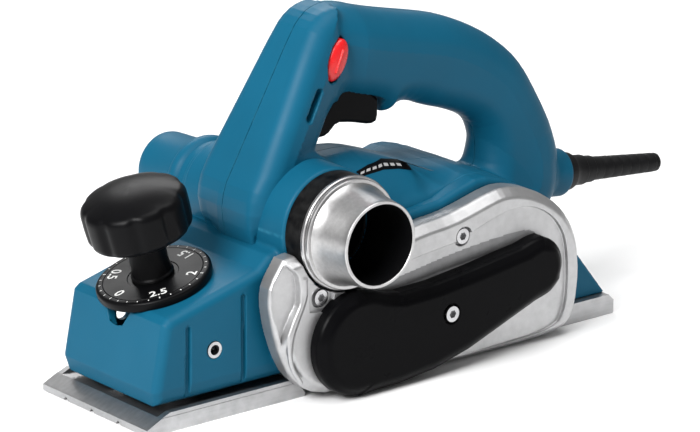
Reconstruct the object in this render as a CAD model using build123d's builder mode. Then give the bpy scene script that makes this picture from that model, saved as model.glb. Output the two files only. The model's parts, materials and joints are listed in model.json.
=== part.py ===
from build123d import *
import os
from math import cos, radians, sin

os.makedirs("parts", exist_ok=True)

# Electric hand planer.
# Frame: +X towards the cord, -X towards the depth knob, -Y towards the belt side, +Z up.
# The origin is the centre of the sole. All values are millimetres and degrees.

# ---- sole ----
SOLE_HALF_LENGTH = 145
SOLE_HALF_WIDTH = 42
REAR_SOLE_START = -10
REAR_SOLE_THICK = 10.3
FRONT_SOLE_END = -52
LIP_Z = 4
DECK_Z = 7.5
RIM_Z = 9.5
GROOVE_YS = (-19, 2, 23)
GROOVE_DEPTH = 2.4
SHOE_TRAVEL = 2.6

# ---- cutter drum ----
DRUM_X = -33.5
DRUM_Z = 27
CUT_RADIUS = 26.8
CORE_RADIUS = 24.5
DRUM_HALF_LENGTH = 41
DRUM_SHAFT_R = 6
BLADE_ANGLE = -62
CHAMBER_RADIUS = 28.5

# ---- motor and belt ----
MOTOR_X = 79.5
MOTOR_Z = 41
MOTOR_BAY_R = 27.5
MOTOR_BAY_END = 34
MOTOR_SHAFT_R = 4
DRUM_PULLEY_R = 11
MOTOR_PULLEY_R = 7
BELT_THICK = 2
BELT_GAP = 0.3
RUN_FIT = 0.05
BEARING_R = 11
FAR_MOTOR_BEARING_R = 9.5
BEARING_BOSS_R = 13.5
BEARING_FAR_Y = -38
PULLEY_WIDTH = 8.7
SHAFT_END_Y = -56

# ---- housings ----
FRONT_HALF_WIDTH = 38
BLOCK_FOOT_Z = 10.3
BODY_SIDE = 42
FAR_SIDE = 41.3
BODY_TOP = 80
WALL = 3.5

# ---- chip duct ----
DUCT_X = -36.5
DUCT_Z = 81
DUCT_R = 28.5
DUCT_BORE_R = 20
DUCT_FOOT_Z = 58
CHANNEL_WIDTH = 26
CHANNEL_HALF_LENGTH = 34
COLLAR_END = -53
ADAPTER_FLANGE_END = -57
ADAPTER_END = -79
ADAPTER_BORE_R = 19
FAR_COLLAR_END = 60
FAR_OUTLET_END = 89

# ---- belt side ----
CASTING_FACE = -55
CASTING_FLOOR = -45.5
COVER_FACE = -64
FRONT_ROUND_R = 25.8
REAR_ROUND_R = 15

# ---- depth knob ----
KNOB_X = -110
KNOB_Z = 62
KNOB_TILT = 16
DIAL_R = 28
DIAL_THICK = 5
STEM_R = 9.5
SCREW_R = 5

# ---- handle ----
GRIP_HEIGHT = 43
GRIP_WIDTH = 36
GRIP_BEND_R = 26
COLUMN_TOP_Z = 176.5
COLUMN_FOOT_Z = 101

TRIGGER_HALF_WIDTH = 8
PIVOT_X = -10
PIVOT_Z = 135.5
PIN_R = 1.5
PIN_HALF_LENGTH = 16.3
BUTTON_X = -13.5
BUTTON_Z = 153
BUTTON_LENGTH = 21
BUTTON_WIDTH = 11.5
BUTTON_OUT = 12
GRILLE_LENGTH = 26
GRILLE_HEIGHT = 12

# ---- cord outlet ----
BOOT_X = 138
BOOT_Z = 65
BOOT_END_X = 211
BOOT_DROP = 6.1
BOOT_ROOT_R = 9.7
CORD_R = 3.4

KNOB_AXIS = (-sin(radians(KNOB_TILT)), 0, cos(radians(KNOB_TILT)))
# square to both the knob's axis and Y, so that a section's local y runs up the axis
KNOB_NORMAL = (cos(radians(KNOB_TILT)), 0, sin(radians(KNOB_TILT)))
knob_plane = Plane(origin=(KNOB_X, 0, KNOB_Z), x_dir=(0, 1, 0), z_dir=KNOB_AXIS)
GRIP_START = Plane(origin=(-18, 0, 155), x_dir=(0, 1, 0), z_dir=(66, 0, -13))
button_plane = Plane(origin=(BUTTON_X, -8, BUTTON_Z), x_dir=(0.4, 0, 0.917), z_dir=(0, -1, 0))
BOOT_AXIS = (cos(radians(BOOT_DROP)), 0, -sin(radians(BOOT_DROP)))
boot_plane = Plane(origin=(BOOT_X, 0, BOOT_Z), x_dir=(0, 1, 0), z_dir=BOOT_AXIS)
grille_plane = Plane(origin=(6, -25, 95.2), x_dir=(1, 0, 0), z_dir=(0, -0.735, 0.678))


def side(y):
    """Sketch plane across the body at this y: local x is X, local y is Z, extrudes towards -Y."""
    return Plane.XZ.offset(-y)


def keep(piece, name):
    """Label the finished piece and write its STEP file."""
    piece.part.label = name
    export_step(piece.part, f"parts/{name}.step")


# ---------------------------------------------------------------- front shoe
with BuildPart() as front_shoe:
    with BuildSketch(side(SOLE_HALF_WIDTH)):
        with BuildLine():
            Polyline(
                (-SOLE_HALF_LENGTH, 0.6),
                (-SOLE_HALF_LENGTH + 0.6, 0),
                (FRONT_SOLE_END - 1, 0),
                (FRONT_SOLE_END - 0.3, 1.5),
                (FRONT_SOLE_END - 4.2, DECK_Z),
                (-SOLE_HALF_LENGTH + 8.5, DECK_Z),
                (-SOLE_HALF_LENGTH + 1, LIP_Z),
                (-SOLE_HALF_LENGTH, LIP_Z - 0.5),
                close=True,
            )
        make_face()
    extrude(amount=2 * SOLE_HALF_WIDTH)
    # side rims that stand outside the front block
    for rim_y in (SOLE_HALF_WIDTH - 0.3, -FRONT_HALF_WIDTH - 0.4):
        with BuildSketch(side(rim_y)):
            with BuildLine():
                Polyline(
                    (-SOLE_HALF_LENGTH + 7, 2),
                    (FRONT_SOLE_END - 1, 2),
                    (FRONT_SOLE_END - 5.5, RIM_Z),
                    (-SOLE_HALF_LENGTH + 13.5, RIM_Z),
                    (-SOLE_HALF_LENGTH + 8.5, DECK_Z),
                    close=True,
                )
            make_face()
        extrude(amount=SOLE_HALF_WIDTH - 0.3 - FRONT_HALF_WIDTH - 0.4)
    # round boss that takes the depth screw, along the knob's axis
    with BuildSketch(knob_plane.offset(-58)):
        Circle(11)
    extrude(amount=22)
    with BuildSketch(Plane.XY):
        Rectangle(400, 200)
    extrude(amount=-30, mode=Mode.SUBTRACT)
    with BuildSketch(knob_plane.offset(-57.5)):
        Circle(SCREW_R + 0.1)
    extrude(amount=30, mode=Mode.SUBTRACT)
    # V grooves that guide the plane along a corner
    for groove_y in GROOVE_YS:
        with BuildSketch(Plane.YZ.offset(-SOLE_HALF_LENGTH - 1)):
            with BuildLine():
                Polyline(
                    (groove_y - GROOVE_DEPTH - 0.5, -0.5),
                    (groove_y, GROOVE_DEPTH),
                    (groove_y + GROOVE_DEPTH + 0.5, -0.5),
                    close=True,
                )
            make_face()
        extrude(amount=80, mode=Mode.SUBTRACT)
keep(front_shoe, "front_shoe")

# ---------------------------------------------------------------- rear shoe
SHOE_SCREWS = [(4, -32), (4, 32), (122, -32), (122, 32)]
SHOE_SCREW_HOLE_R = 2.1
with BuildPart() as rear_shoe:
    with BuildSketch(side(SOLE_HALF_WIDTH)):
        with BuildLine():
            Polyline(
                (REAR_SOLE_START, 0),
                (SOLE_HALF_LENGTH - 0.6, 0),
                (SOLE_HALF_LENGTH, 0.6),
                (SOLE_HALF_LENGTH, 7),
                (SOLE_HALF_LENGTH - 3.3, REAR_SOLE_THICK),
                (REAR_SOLE_START + 6, REAR_SOLE_THICK),
                (REAR_SOLE_START, 5),
                close=True,
            )
        make_face()
    extrude(amount=2 * SOLE_HALF_WIDTH)
    with Locations(*[Location((x, y, 0), (180, 0, 0)) for x, y in SHOE_SCREWS]):
        CounterSinkHole(radius=SHOE_SCREW_HOLE_R, counter_sink_radius=4.4, depth=REAR_SOLE_THICK)
keep(rear_shoe, "rear_shoe")

with BuildPart() as shoe_screws:
    for screw_x, screw_y in SHOE_SCREWS:
        with BuildSketch(Plane(origin=(screw_x, screw_y, 0), x_dir=(1, 0, 0), z_dir=(0, -1, 0))):
            with BuildLine():
                Polyline((0, 0.4), (4, 0.4), (2.0, 2.5), (2.0, 17), (0, 17), close=True)
            make_face()
        revolve(axis=Axis((screw_x, screw_y, 0), (0, 0, 1)))
        with BuildSketch(Plane(origin=(screw_x, screw_y, 0.4))):
            RegularPolygon(1.5, 6)
        extrude(amount=1.2, mode=Mode.SUBTRACT)
keep(shoe_screws, "rear_shoe_screws")

# ---------------------------------------------------------------- main housing
BLOCK_SIDE = [
    (-135.3, BLOCK_FOOT_Z), (-137, 18), (-130, 50), (-75, 66), (-69, 71.5), (-66, 71.5), (-62, DUCT_FOOT_Z),
    (-60, DUCT_FOOT_Z), (-60, BLOCK_FOOT_Z),
]
BODY_PROFILE = [
    (-62, 13), (-68, 22), (-70, 44), (-70, DUCT_FOOT_Z), (-8, DUCT_FOOT_Z), (-6, BODY_TOP),
    (58, BODY_TOP), (86, 73), (104, 66), (114, 50), (114, REAR_SOLE_THICK), (-9, REAR_SOLE_THICK), (-9, 9),
]
WEDGE_PROFILE = [(110, 10.3), (143, 10.3), (119, 41), (110, 50)]
DUCT_BLOCK = [(-62, DUCT_FOOT_Z), (-66, 71.5), (-30, 76), (-6, BODY_TOP), (-8, DUCT_FOOT_Z)]
GUIDE_INSERT = (-102.5, 32.8)
GUIDE_INSERT_R = 4
GUIDE_THREAD_R = 2.5
with BuildPart() as main_housing:
    with BuildSketch(side(FRONT_HALF_WIDTH)):
        with BuildLine():
            Polyline(*BLOCK_SIDE, close=True)
        make_face()
    extrude(amount=2 * FRONT_HALF_WIDTH)
    fillet(main_housing.edges().filter_by(GeomType.LINE).filter_by(Axis.Z).group_by(Axis.X)[0], 4)
    with BuildSketch(side(FAR_SIDE)):
        with BuildLine():
            Polyline(*BODY_PROFILE, close=True)
        make_face()
    extrude(amount=FAR_SIDE + BODY_SIDE)
    with BuildSketch(side(FRONT_HALF_WIDTH)):
        with BuildLine():
            Polyline(*WEDGE_PROFILE, close=True)
        make_face()
    extrude(amount=2 * FRONT_HALF_WIDTH)
    # hollow front block, open below, for the front shoe's boss
    with BuildSketch(side(34.5)):
        with BuildLine():
            Polyline(
                (-131, 6), (-133, 18), (-126.5, 46.5), (-76, 61.5), (-66, 61.5), (-66, 6), close=True
            )
        make_face()
    extrude(amount=69, mode=Mode.SUBTRACT)
    # screw hole through the sloping roof
    with BuildSketch(knob_plane.offset(-20)):
        Circle(SCREW_R + 0.8)
    extrude(amount=30, mode=Mode.SUBTRACT)
    # cutter chamber, open at both sides and below
    with BuildSketch(side(50)):
        with Locations((DRUM_X, DRUM_Z)):
            Circle(CHAMBER_RADIUS)
    extrude(amount=100, mode=Mode.SUBTRACT)
    with BuildSketch(side(50)):
        with Locations((DRUM_X, 8)):
            Rectangle(46, 30)
    extrude(amount=100, mode=Mode.SUBTRACT)
    # chip channel from the chamber up to the duct
    with BuildSketch(side(CHANNEL_HALF_LENGTH)):
        with Locations((DUCT_X, DUCT_FOOT_Z)):
            Rectangle(CHANNEL_WIDTH, CHANNEL_WIDTH)
    extrude(amount=2 * CHANNEL_HALF_LENGTH, mode=Mode.SUBTRACT)
    # room for the duct, which stands on a flat floor between the block and the motor
    with BuildSketch(side(50)):
        with Locations((DUCT_X, DUCT_Z)):
            Circle(DUCT_R)
        with Locations((DUCT_X, DUCT_FOOT_Z - DUCT_R)):
            Rectangle(2 * DUCT_R, 2 * DUCT_R, mode=Mode.SUBTRACT)
    extrude(amount=100, mode=Mode.SUBTRACT)
    # motor bay, open on the belt side, with a bearing seat at its far end
    with BuildSketch(side(MOTOR_BAY_END)):
        with Locations((MOTOR_X, MOTOR_Z)):
            Circle(MOTOR_BAY_R)
    extrude(amount=MOTOR_BAY_END + BODY_SIDE + 1, mode=Mode.SUBTRACT)
    with BuildSketch(side(39)):
        with Locations((MOTOR_X, MOTOR_Z)):
            Circle(FAR_MOTOR_BEARING_R)
    extrude(amount=10, mode=Mode.SUBTRACT)
    # hollow between the chamber and the motor, closed below by the rear shoe
    with BuildSketch(Plane.XY.offset(9)):
        with Locations((23, 0)):
            Rectangle(38, 66)
    extrude(amount=65, mode=Mode.SUBTRACT)
    # blind hole of the threaded insert for a parallel guide
    with BuildSketch(side(-33)):
        with Locations(GUIDE_INSERT):
            Circle(GUIDE_INSERT_R)
    extrude(amount=10, mode=Mode.SUBTRACT)
    # holes of the rear shoe's screws
    for screw_x, screw_y in SHOE_SCREWS:
        with BuildSketch(Plane(origin=(screw_x, screw_y, 9))):
            Circle(SHOE_SCREW_HOLE_R)
        extrude(amount=9, mode=Mode.SUBTRACT)
keep(main_housing, "main_housing")

with BuildPart() as guide_insert:
    with BuildSketch(side(-29)):
        with Locations(GUIDE_INSERT):
            Circle(GUIDE_INSERT_R)
            Circle(GUIDE_THREAD_R, mode=Mode.SUBTRACT)
    extrude(amount=9)
keep(guide_insert, "guide_insert")

# ---------------------------------------------------------------- handle
GRIP_PATH = [(-18, 155), (48, 142), (90, 124), (108.5, 98), (112, 62)]
COVER_SIDE = [
    (-34, 70), (-34, 100), (-22, 104), (6, 103.3), (40, 91.4), (86, 77.5), (86, 70),
]
LEG_FOOT = [
    (86.5, 84), (84, 78), (84, 68), (112, 56), (118.5, 42), (137.2, 52), (142.8, 54.4), (147.2, 56.2),
    (142.4, 73.7), (136.7, 77.3), (134, 84),
]
HANDLE_SCREWS = [(0, 165.5, 14), (72, 131, 13), (111, 92, 13), (-40, 118, 20)]
with BuildPart() as handle:
    # cover over the motor, with both flanks sloping down to the body
    with BuildSketch(side(37)):
        with BuildLine():
            Polyline(*COVER_SIDE, close=True)
        make_face()
    extrude(amount=74)
    for flank in (-1, 1):
        with BuildSketch(Plane.YZ.offset(-60)):
            with BuildLine():
                Polyline((flank * 39, 80), (flank * 15, 106), (flank * 39, 106), close=True)
            make_face()
        extrude(amount=200, mode=Mode.SUBTRACT)
    # foot of the rear leg, with the boss that holds the cord's boot
    with BuildSketch(side(19)):
        with BuildLine():
            Polyline(*LEG_FOOT, close=True)
        make_face()
    extrude(amount=38)
    # leaning column from the duct up to the grip's front end
    with BuildSketch(Plane.XY.offset(COLUMN_FOOT_Z)):
        with Locations((-47.5, 0)):
            RectangleRounded(35, 54, 10)
    with BuildSketch(Plane.XY.offset(COLUMN_TOP_Z)):
        with Locations((-6, 0)):
            RectangleRounded(36, 37, 10)
    loft()
    # web between the column's foot and the cover, over the duct
    with BuildSketch(side(22)):
        with BuildLine():
            Polyline((-45, 106), (-27, 112), (-13, 103.7), (-16, 94), (-40, 94), close=True)
        make_face()
    extrude(amount=44)
    # grip and rear leg
    with BuildLine():
        FilletPolyline(*[(x, 0, z) for x, z in GRIP_PATH], radius=GRIP_BEND_R)
    with BuildSketch(GRIP_START):
        RectangleRounded(GRIP_WIDTH, GRIP_HEIGHT, 14)
    sweep()
    # the shells sit on the main housing
    with BuildSketch(side(60)):
        for outline in (BODY_PROFILE, DUCT_BLOCK):
            with BuildLine():
                Polyline(*outline, close=True)
            make_face()
        with Locations((DUCT_X, DUCT_Z)):
            Circle(DUCT_R)
    extrude(amount=120, mode=Mode.SUBTRACT)
    with BuildSketch(side(60)):
        with BuildLine():
            Polyline(*WEDGE_PROFILE, close=True)
        make_face()
    extrude(amount=120, mode=Mode.SUBTRACT)
    # hollow inside: grip, column and cover
    with BuildLine():
        FilletPolyline(*[(x, 0, z) for x, z in GRIP_PATH], radius=GRIP_BEND_R)
    with BuildSketch(GRIP_START):
        RectangleRounded(GRIP_WIDTH - 2 * WALL, GRIP_HEIGHT - 2 * WALL, 10)
    sweep(mode=Mode.SUBTRACT)
    with BuildSketch(Plane.XY.offset(116)):
        with Locations((-39.1, 0)):
            RectangleRounded(27, 42, 8)
    with BuildSketch(Plane.XY.offset(COLUMN_TOP_Z - 6)):
        with Locations((-10, 0)):
            RectangleRounded(26, 29, 8)
    loft(mode=Mode.SUBTRACT)
    with BuildSketch(side(17)):
        with BuildLine():
            Polyline((-6, 76), (-6, 98.5), (5, 98.5), (38, 87), (50, 83), (50, 76), close=True)
        make_face()
    extrude(amount=34, mode=Mode.SUBTRACT)
    # slot for the trigger and opening for the lock-off button
    with BuildSketch(side(TRIGGER_HALF_WIDTH + 0.5)):
        with BuildLine():
            Polyline((-24, 110), (-18, 141), (24, 141), (24, 110), close=True)
        make_face()
    extrude(amount=2 * TRIGGER_HALF_WIDTH + 1, mode=Mode.SUBTRACT)
    with BuildSketch(side(PIN_HALF_LENGTH)):
        with Locations((PIVOT_X, PIVOT_Z)):
            Circle(PIN_R)
    extrude(amount=2 * PIN_HALF_LENGTH, mode=Mode.SUBTRACT)
    with BuildSketch(button_plane):
        SlotOverall(BUTTON_LENGTH + 0.6, BUTTON_WIDTH + 0.6)
    extrude(amount=20, mode=Mode.SUBTRACT)
    # seat of the cord's boot
    with BuildSketch(boot_plane):
        Circle(BOOT_ROOT_R)
    extrude(amount=20, mode=Mode.SUBTRACT)
    with BuildSketch(side(12)):
        with Locations((130.5, 64.5)):
            Rectangle(15, 16)
    extrude(amount=24, mode=Mode.SUBTRACT)
    # screw bosses across the hollow, bored for screws put in from the far side
    for screw_x, screw_z, depth in HANDLE_SCREWS:
        with BuildSketch(side(depth + 2.5)):
            with Locations((screw_x, screw_z)):
                Circle(4.5)
        extrude(amount=2 * depth + 5)
    for screw_x, screw_z, depth in HANDLE_SCREWS:
        with BuildSketch(side(depth)):
            with Locations((screw_x, screw_z)):
                Circle(1.9)
        extrude(amount=1.7 * depth, mode=Mode.SUBTRACT)
        with BuildSketch(side(40)):
            with Locations((screw_x, screw_z)):
                Circle(3.6)
        extrude(amount=40 - depth, mode=Mode.SUBTRACT)
    # seat of the ventilation grille on the cover's near flank
    with BuildSketch(grille_plane):
        Rectangle(GRILLE_LENGTH, GRILLE_HEIGHT)
    extrude(amount=-3, mode=Mode.SUBTRACT)

with BuildPart() as handle_near_shell:
    add(handle.part)
    split(bisect_by=Plane.XZ, keep=Keep.TOP)
keep(handle_near_shell, "handle_near_shell")

with BuildPart() as handle_far_shell:
    add(handle.part)
    split(bisect_by=Plane.XZ, keep=Keep.BOTTOM)
keep(handle_far_shell, "handle_far_shell")

with BuildPart() as handle_screws:
    for screw_x, screw_z, depth in HANDLE_SCREWS:
        with BuildSketch(side(depth + 2.4)):
            with Locations((screw_x, screw_z)):
                Circle(3.3)
        extrude(amount=2.4)
        with BuildSketch(side(depth)):
            with Locations((screw_x, screw_z)):
                Circle(1.8)
        extrude(amount=1.6 * depth)
keep(handle_screws, "handle_screws")

with BuildPart() as vent_grille:
    with BuildSketch(grille_plane):
        Rectangle(GRILLE_LENGTH, GRILLE_HEIGHT)
    extrude(amount=-2.5)
    with BuildSketch(grille_plane):
        with GridLocations(GRILLE_LENGTH / 7, 1, 6, 1):
            SlotOverall(GRILLE_HEIGHT - 3, 2, rotation=90)
    extrude(amount=-1.2, mode=Mode.SUBTRACT)
keep(vent_grille, "vent_grille")

# ---------------------------------------------------------------- switch, trigger, button
with BuildPart() as switch_module:
    with BuildSketch(side(9)):
        with BuildLine():
            Polyline((0, 142), (25, 139), (27, 155), (0, 158), close=True)
        make_face()
    extrude(amount=18)
keep(switch_module, "switch_module")

with BuildPart() as trigger:
    with BuildSketch(side(TRIGGER_HALF_WIDTH)):
        with BuildLine():
            Polyline(
                (-22.5, 114.5), (-18.5, 112.8), (-11, 113.2), (-5, 118.8), (16, 114), (20.3, 115.5),
                (20.3, 129), (-4, 139), (-14, 139), (-16, 134), close=True,
            )
        make_face()
    extrude(amount=2 * TRIGGER_HALF_WIDTH)
    # pivot pin's hole
    with BuildSketch(side(20)):
        with Locations((PIVOT_X, PIVOT_Z)):
            Circle(PIN_R + RUN_FIT)
    extrude(amount=40, mode=Mode.SUBTRACT)
    fillet(trigger.edges().filter_by(Axis.Y), 1)
keep(trigger, "trigger")

with BuildPart() as trigger_pin:
    with BuildSketch(side(PIN_HALF_LENGTH)):
        with Locations((PIVOT_X, PIVOT_Z)):
            Circle(PIN_R)
    extrude(amount=2 * PIN_HALF_LENGTH)
keep(trigger_pin, "trigger_pin")

with BuildPart() as lock_button:
    with BuildSketch(button_plane.offset(5)):
        SlotOverall(BUTTON_LENGTH, BUTTON_WIDTH)
    extrude(amount=BUTTON_OUT - 5)
    chamfer(lock_button.faces().sort_by(Axis.Y)[0].edges(), 1)
    with BuildSketch(button_plane.offset(BUTTON_OUT - 0.5)):
        SlotOverall(BUTTON_LENGTH - 8, 2)
    extrude(amount=1.3)
keep(lock_button, "lock_button")

# ---------------------------------------------------------------- belt side
CASTING_SCREWS = [(-52, 52), (35, 65)]
COVER_SCREW = (20, 31.5)
CASTING_OUTLINE = [
    (-66, 72), (-77, 60), (-79, 52), (-76, 38), (-71, 24), (-64, 10.5), (-57, 5), (-46, 2.5), (-30, 1.2),
    (60, 1.2), (96, 2), (106, 7), (111, 16), (112.5, 32), (110, 48), (104, 61), (94, 72), (80, 80),
    (66, 83.5), (52, 82), (38, 78), (24, 75.5), (10, 74), (-4, 70),
]


def cover_edge(shrink):
    """Straight-sided part of the belt cover's outline, between its two round ends, pulled in by shrink."""
    return [
        (DRUM_X, DRUM_Z - FRONT_ROUND_R + shrink),
        (-10, 1.4 + shrink),
        (12, 3.8 + shrink),
        (34, 9.4 + shrink),
        (MOTOR_X + 6.5 - shrink * 0.4, MOTOR_Z - 12.5 + shrink * 0.9),
        (MOTOR_X + 1.5, MOTOR_Z + 15.9 - shrink),
        (46, 50.4 - shrink),
        (22, 47 - shrink),
        (-2, 46.6 - shrink),
        (-22, 50.4 - shrink),
    ]


def cover_rounds(shrink):
    """Centre and radius of the belt cover's two round ends, pulled in by shrink."""
    return [
        (DRUM_X, DRUM_Z, FRONT_ROUND_R - shrink),
        (MOTOR_X, MOTOR_Z + 1, REAR_ROUND_R - shrink),
    ]


with BuildPart() as belt_housing:
    with BuildSketch(side(-BODY_SIDE)):
        with BuildLine():
            Polyline(*CASTING_OUTLINE, close=True)
        make_face()
        with Locations((DUCT_X, DUCT_Z)):
            Circle(DUCT_R + 0.5, mode=Mode.SUBTRACT)
    extrude(amount=-CASTING_FACE - BODY_SIDE)
    # belt chamber
    with BuildSketch(side(CASTING_FLOOR)):
        for centre_x, centre_z, radius in cover_rounds(1):
            with Locations((centre_x, centre_z)):
                Circle(radius)
        with BuildLine():
            Polyline(*cover_edge(1), close=True)
        make_face()
    extrude(amount=20, mode=Mode.SUBTRACT)
    # bearing bosses that reach into the cutter chamber and the motor bay
    for centre_x, centre_z in ((DRUM_X, DRUM_Z), (MOTOR_X, MOTOR_Z)):
        with BuildSketch(side(-37)):
            with Locations((centre_x, centre_z)):
                Circle(BEARING_BOSS_R)
        extrude(amount=8)
    for centre_x, centre_z in ((DRUM_X, DRUM_Z), (MOTOR_X, MOTOR_Z)):
        with BuildSketch(side(BEARING_FAR_Y)):
            with Locations((centre_x, centre_z)):
                Circle(BEARING_R)
        extrude(amount=20, mode=Mode.SUBTRACT)
        with BuildSketch(side(-30)):
            with Locations((centre_x, centre_z)):
                Circle(8)
        extrude(amount=20, mode=Mode.SUBTRACT)
    # screw seats
    for screw_x, screw_z in CASTING_SCREWS:
        with BuildSketch(side(-51)):
            with Locations((screw_x, screw_z)):
                Circle(4.6)
        extrude(amount=10, mode=Mode.SUBTRACT)
        with BuildSketch(side(-40)):
            with Locations((screw_x, screw_z)):
                Circle(2.2)
        extrude(amount=20, mode=Mode.SUBTRACT)
    # pillar for the cover's screw, standing between the two runs of the belt
    with BuildSketch(side(CASTING_FLOOR + 0.5)):
        with Locations(COVER_SCREW):
            Circle(4.2)
            Circle(1.6, mode=Mode.SUBTRACT)
    extrude(amount=CASTING_FLOOR + 0.5 - CASTING_FACE)
keep(belt_housing, "belt_housing")

with BuildPart() as casting_screws:
    for screw_x, screw_z in CASTING_SCREWS:
        with BuildSketch(side(-51)):
            with Locations((screw_x, screw_z)):
                Circle(3.8)
        extrude(amount=3)
        with BuildSketch(side(-54)):
            with Locations((screw_x, screw_z)):
                RegularPolygon(2.1, 6)
        extrude(amount=-2, mode=Mode.SUBTRACT)
        with BuildSketch(side(-42.3)):
            with Locations((screw_x, screw_z)):
                Circle(2)
        extrude(amount=8.7)
keep(casting_screws, "belt_housing_screws")

with BuildPart() as belt_cover:
    with BuildSketch(side(CASTING_FACE)):
        for centre_x, centre_z, radius in cover_rounds(0):
            with Locations((centre_x, centre_z)):
                Circle(radius)
        with BuildLine():
            Polyline(*cover_edge(0), close=True)
        make_face()
    extrude(amount=CASTING_FACE - COVER_FACE)
    chamfer(belt_cover.faces().sort_by(Axis.Y)[0].edges(), 3)
    with BuildSketch(side(CASTING_FACE)):
        for centre_x, centre_z, radius in cover_rounds(3.4):
            with Locations((centre_x, centre_z)):
                Circle(radius)
        with BuildLine():
            Polyline(*cover_edge(3.4), close=True)
        make_face()
    extrude(amount=5, mode=Mode.SUBTRACT)
    with BuildSketch(side(CASTING_FACE)):
        with Locations(COVER_SCREW):
            Circle(4.6)
    extrude(amount=8)
    with BuildSketch(side(CASTING_FACE + 1)):
        with Locations(COVER_SCREW):
            Circle(2.2)
    extrude(amount=20, mode=Mode.SUBTRACT)
    with BuildSketch(side(COVER_FACE + 2.2)):
        with Locations(COVER_SCREW):
            Circle(4.4)
    extrude(amount=5, mode=Mode.SUBTRACT)
keep(belt_cover, "belt_cover")

with BuildPart() as cover_screw:
    with BuildSketch(side(COVER_FACE + 2.2)):
        with Locations(COVER_SCREW):
            Circle(3.9)
    extrude(amount=2.8)
    with BuildSketch(side(COVER_FACE - 0.6)):
        with Locations(COVER_SCREW):
            RegularPolygon(2.1, 6)
    extrude(amount=-2, mode=Mode.SUBTRACT)
    with BuildSketch(side(-47)):
        with Locations(COVER_SCREW):
            Circle(1.55)
    extrude(amount=-47 - COVER_FACE - 2.2)
keep(cover_screw, "belt_cover_screw")

# the belt: two straight runs tangent to both pulleys, closed by two arcs
with BuildPart() as drive_belt:
    with BuildSketch(side(CASTING_FLOOR - 1.4)):
        with BuildSketch(mode=Mode.PRIVATE) as belt_outside:
            with Locations((DRUM_X, DRUM_Z)):
                Circle(DRUM_PULLEY_R + BELT_GAP + BELT_THICK)
            with Locations((MOTOR_X, MOTOR_Z)):
                Circle(MOTOR_PULLEY_R + BELT_GAP + BELT_THICK)
            make_hull()
        with BuildSketch(mode=Mode.PRIVATE) as belt_inside:
            with Locations((DRUM_X, DRUM_Z)):
                Circle(DRUM_PULLEY_R + BELT_GAP)
            with Locations((MOTOR_X, MOTOR_Z)):
                Circle(MOTOR_PULLEY_R + BELT_GAP)
            make_hull()
        add(belt_outside.sketch)
        add(belt_inside.sketch, mode=Mode.SUBTRACT)
    extrude(amount=7.5)
keep(drive_belt, "drive_belt")


# ball bearings as plain rings: near y, far y, outer radius
with BuildPart() as drum_bearings:
    for near_y, far_y, outer in ((-45, BEARING_FAR_Y, BEARING_R), (37, 42, BEARING_R)):
        with BuildSketch(side(far_y)):
            with Locations((DRUM_X, DRUM_Z)):
                Circle(outer)
                Circle(DRUM_SHAFT_R + RUN_FIT, mode=Mode.SUBTRACT)
        extrude(amount=far_y - near_y)
keep(drum_bearings, "drum_bearings")

with BuildPart() as motor_bearings:
    for near_y, far_y, outer in ((-45, BEARING_FAR_Y, BEARING_R), (34.5, 39, FAR_MOTOR_BEARING_R)):
        with BuildSketch(side(far_y)):
            with Locations((MOTOR_X, MOTOR_Z)):
                Circle(outer)
                Circle(MOTOR_SHAFT_R + RUN_FIT, mode=Mode.SUBTRACT)
        extrude(amount=far_y - near_y)
keep(motor_bearings, "motor_bearings")

# far side plate: closes the cutter chamber and carries the drum's far bearing in an inward boss
SIDE_PLATE_SCREWS = [(DRUM_X - 24, 49), (DRUM_X + 24, 49), (DRUM_X + 30, 18)]
with BuildPart() as side_plate:
    with BuildSketch(side(44)):
        with BuildLine():
            Polyline(
                (-63, 15), (-54, 10.6), (-5, 10.6), (1, 18), (-4, 50), (-18, 52), (-49, 52), (-63, 53),
                (-68, 30), close=True,
            )
        make_face()
    extrude(amount=44 - FAR_SIDE)
    with BuildSketch(side(FAR_SIDE)):
        with Locations((DRUM_X, DRUM_Z)):
            Circle(BEARING_BOSS_R)
    extrude(amount=FAR_SIDE - 37)
    with BuildSketch(side(42)):
        with Locations((DRUM_X, DRUM_Z)):
            Circle(BEARING_R)
    extrude(amount=10, mode=Mode.SUBTRACT)
    for screw_x, screw_z in SIDE_PLATE_SCREWS:
        with BuildSketch(side(50)):
            with Locations((screw_x, screw_z)):
                Circle(1.9)
        extrude(amount=20, mode=Mode.SUBTRACT)
keep(side_plate, "side_bearing_plate")

with BuildPart() as side_plate_screws:
    for screw_x, screw_z in SIDE_PLATE_SCREWS:
        with BuildSketch(side(46)):
            with Locations((screw_x, screw_z)):
                Circle(3.4)
        extrude(amount=2)
        with BuildSketch(side(46)):
            with Locations((screw_x, screw_z)):
                RegularPolygon(1.6, 6)
        extrude(amount=1.4, mode=Mode.SUBTRACT)
        with BuildSketch(side(44)):
            with Locations((screw_x, screw_z)):
                Circle(1.8)
        extrude(amount=2.6)
keep(side_plate_screws, "side_plate_screws")

# ---------------------------------------------------------------- chip duct
with BuildPart() as chip_duct:
    with BuildSketch(side(BODY_SIDE)):
        with BuildLine():
            Polyline(*DUCT_BLOCK, close=True)
        make_face()
        with Locations((DUCT_X, DUCT_Z)):
            Circle(DUCT_R)
            Circle(DUCT_BORE_R, mode=Mode.SUBTRACT)
        with Locations((DUCT_X, DUCT_FOOT_Z - DUCT_R)):
            Rectangle(2 * DUCT_R, 2 * DUCT_R, mode=Mode.SUBTRACT)
    extrude(amount=2 * BODY_SIDE)
    # way in for the chips, from the cutter chamber below
    with BuildSketch(side(CHANNEL_HALF_LENGTH)):
        with Locations((DUCT_X, DUCT_FOOT_Z)):
            Rectangle(CHANNEL_WIDTH, CHANNEL_WIDTH)
    extrude(amount=2 * CHANNEL_HALF_LENGTH, mode=Mode.SUBTRACT)
keep(chip_duct, "chip_duct")

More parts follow.
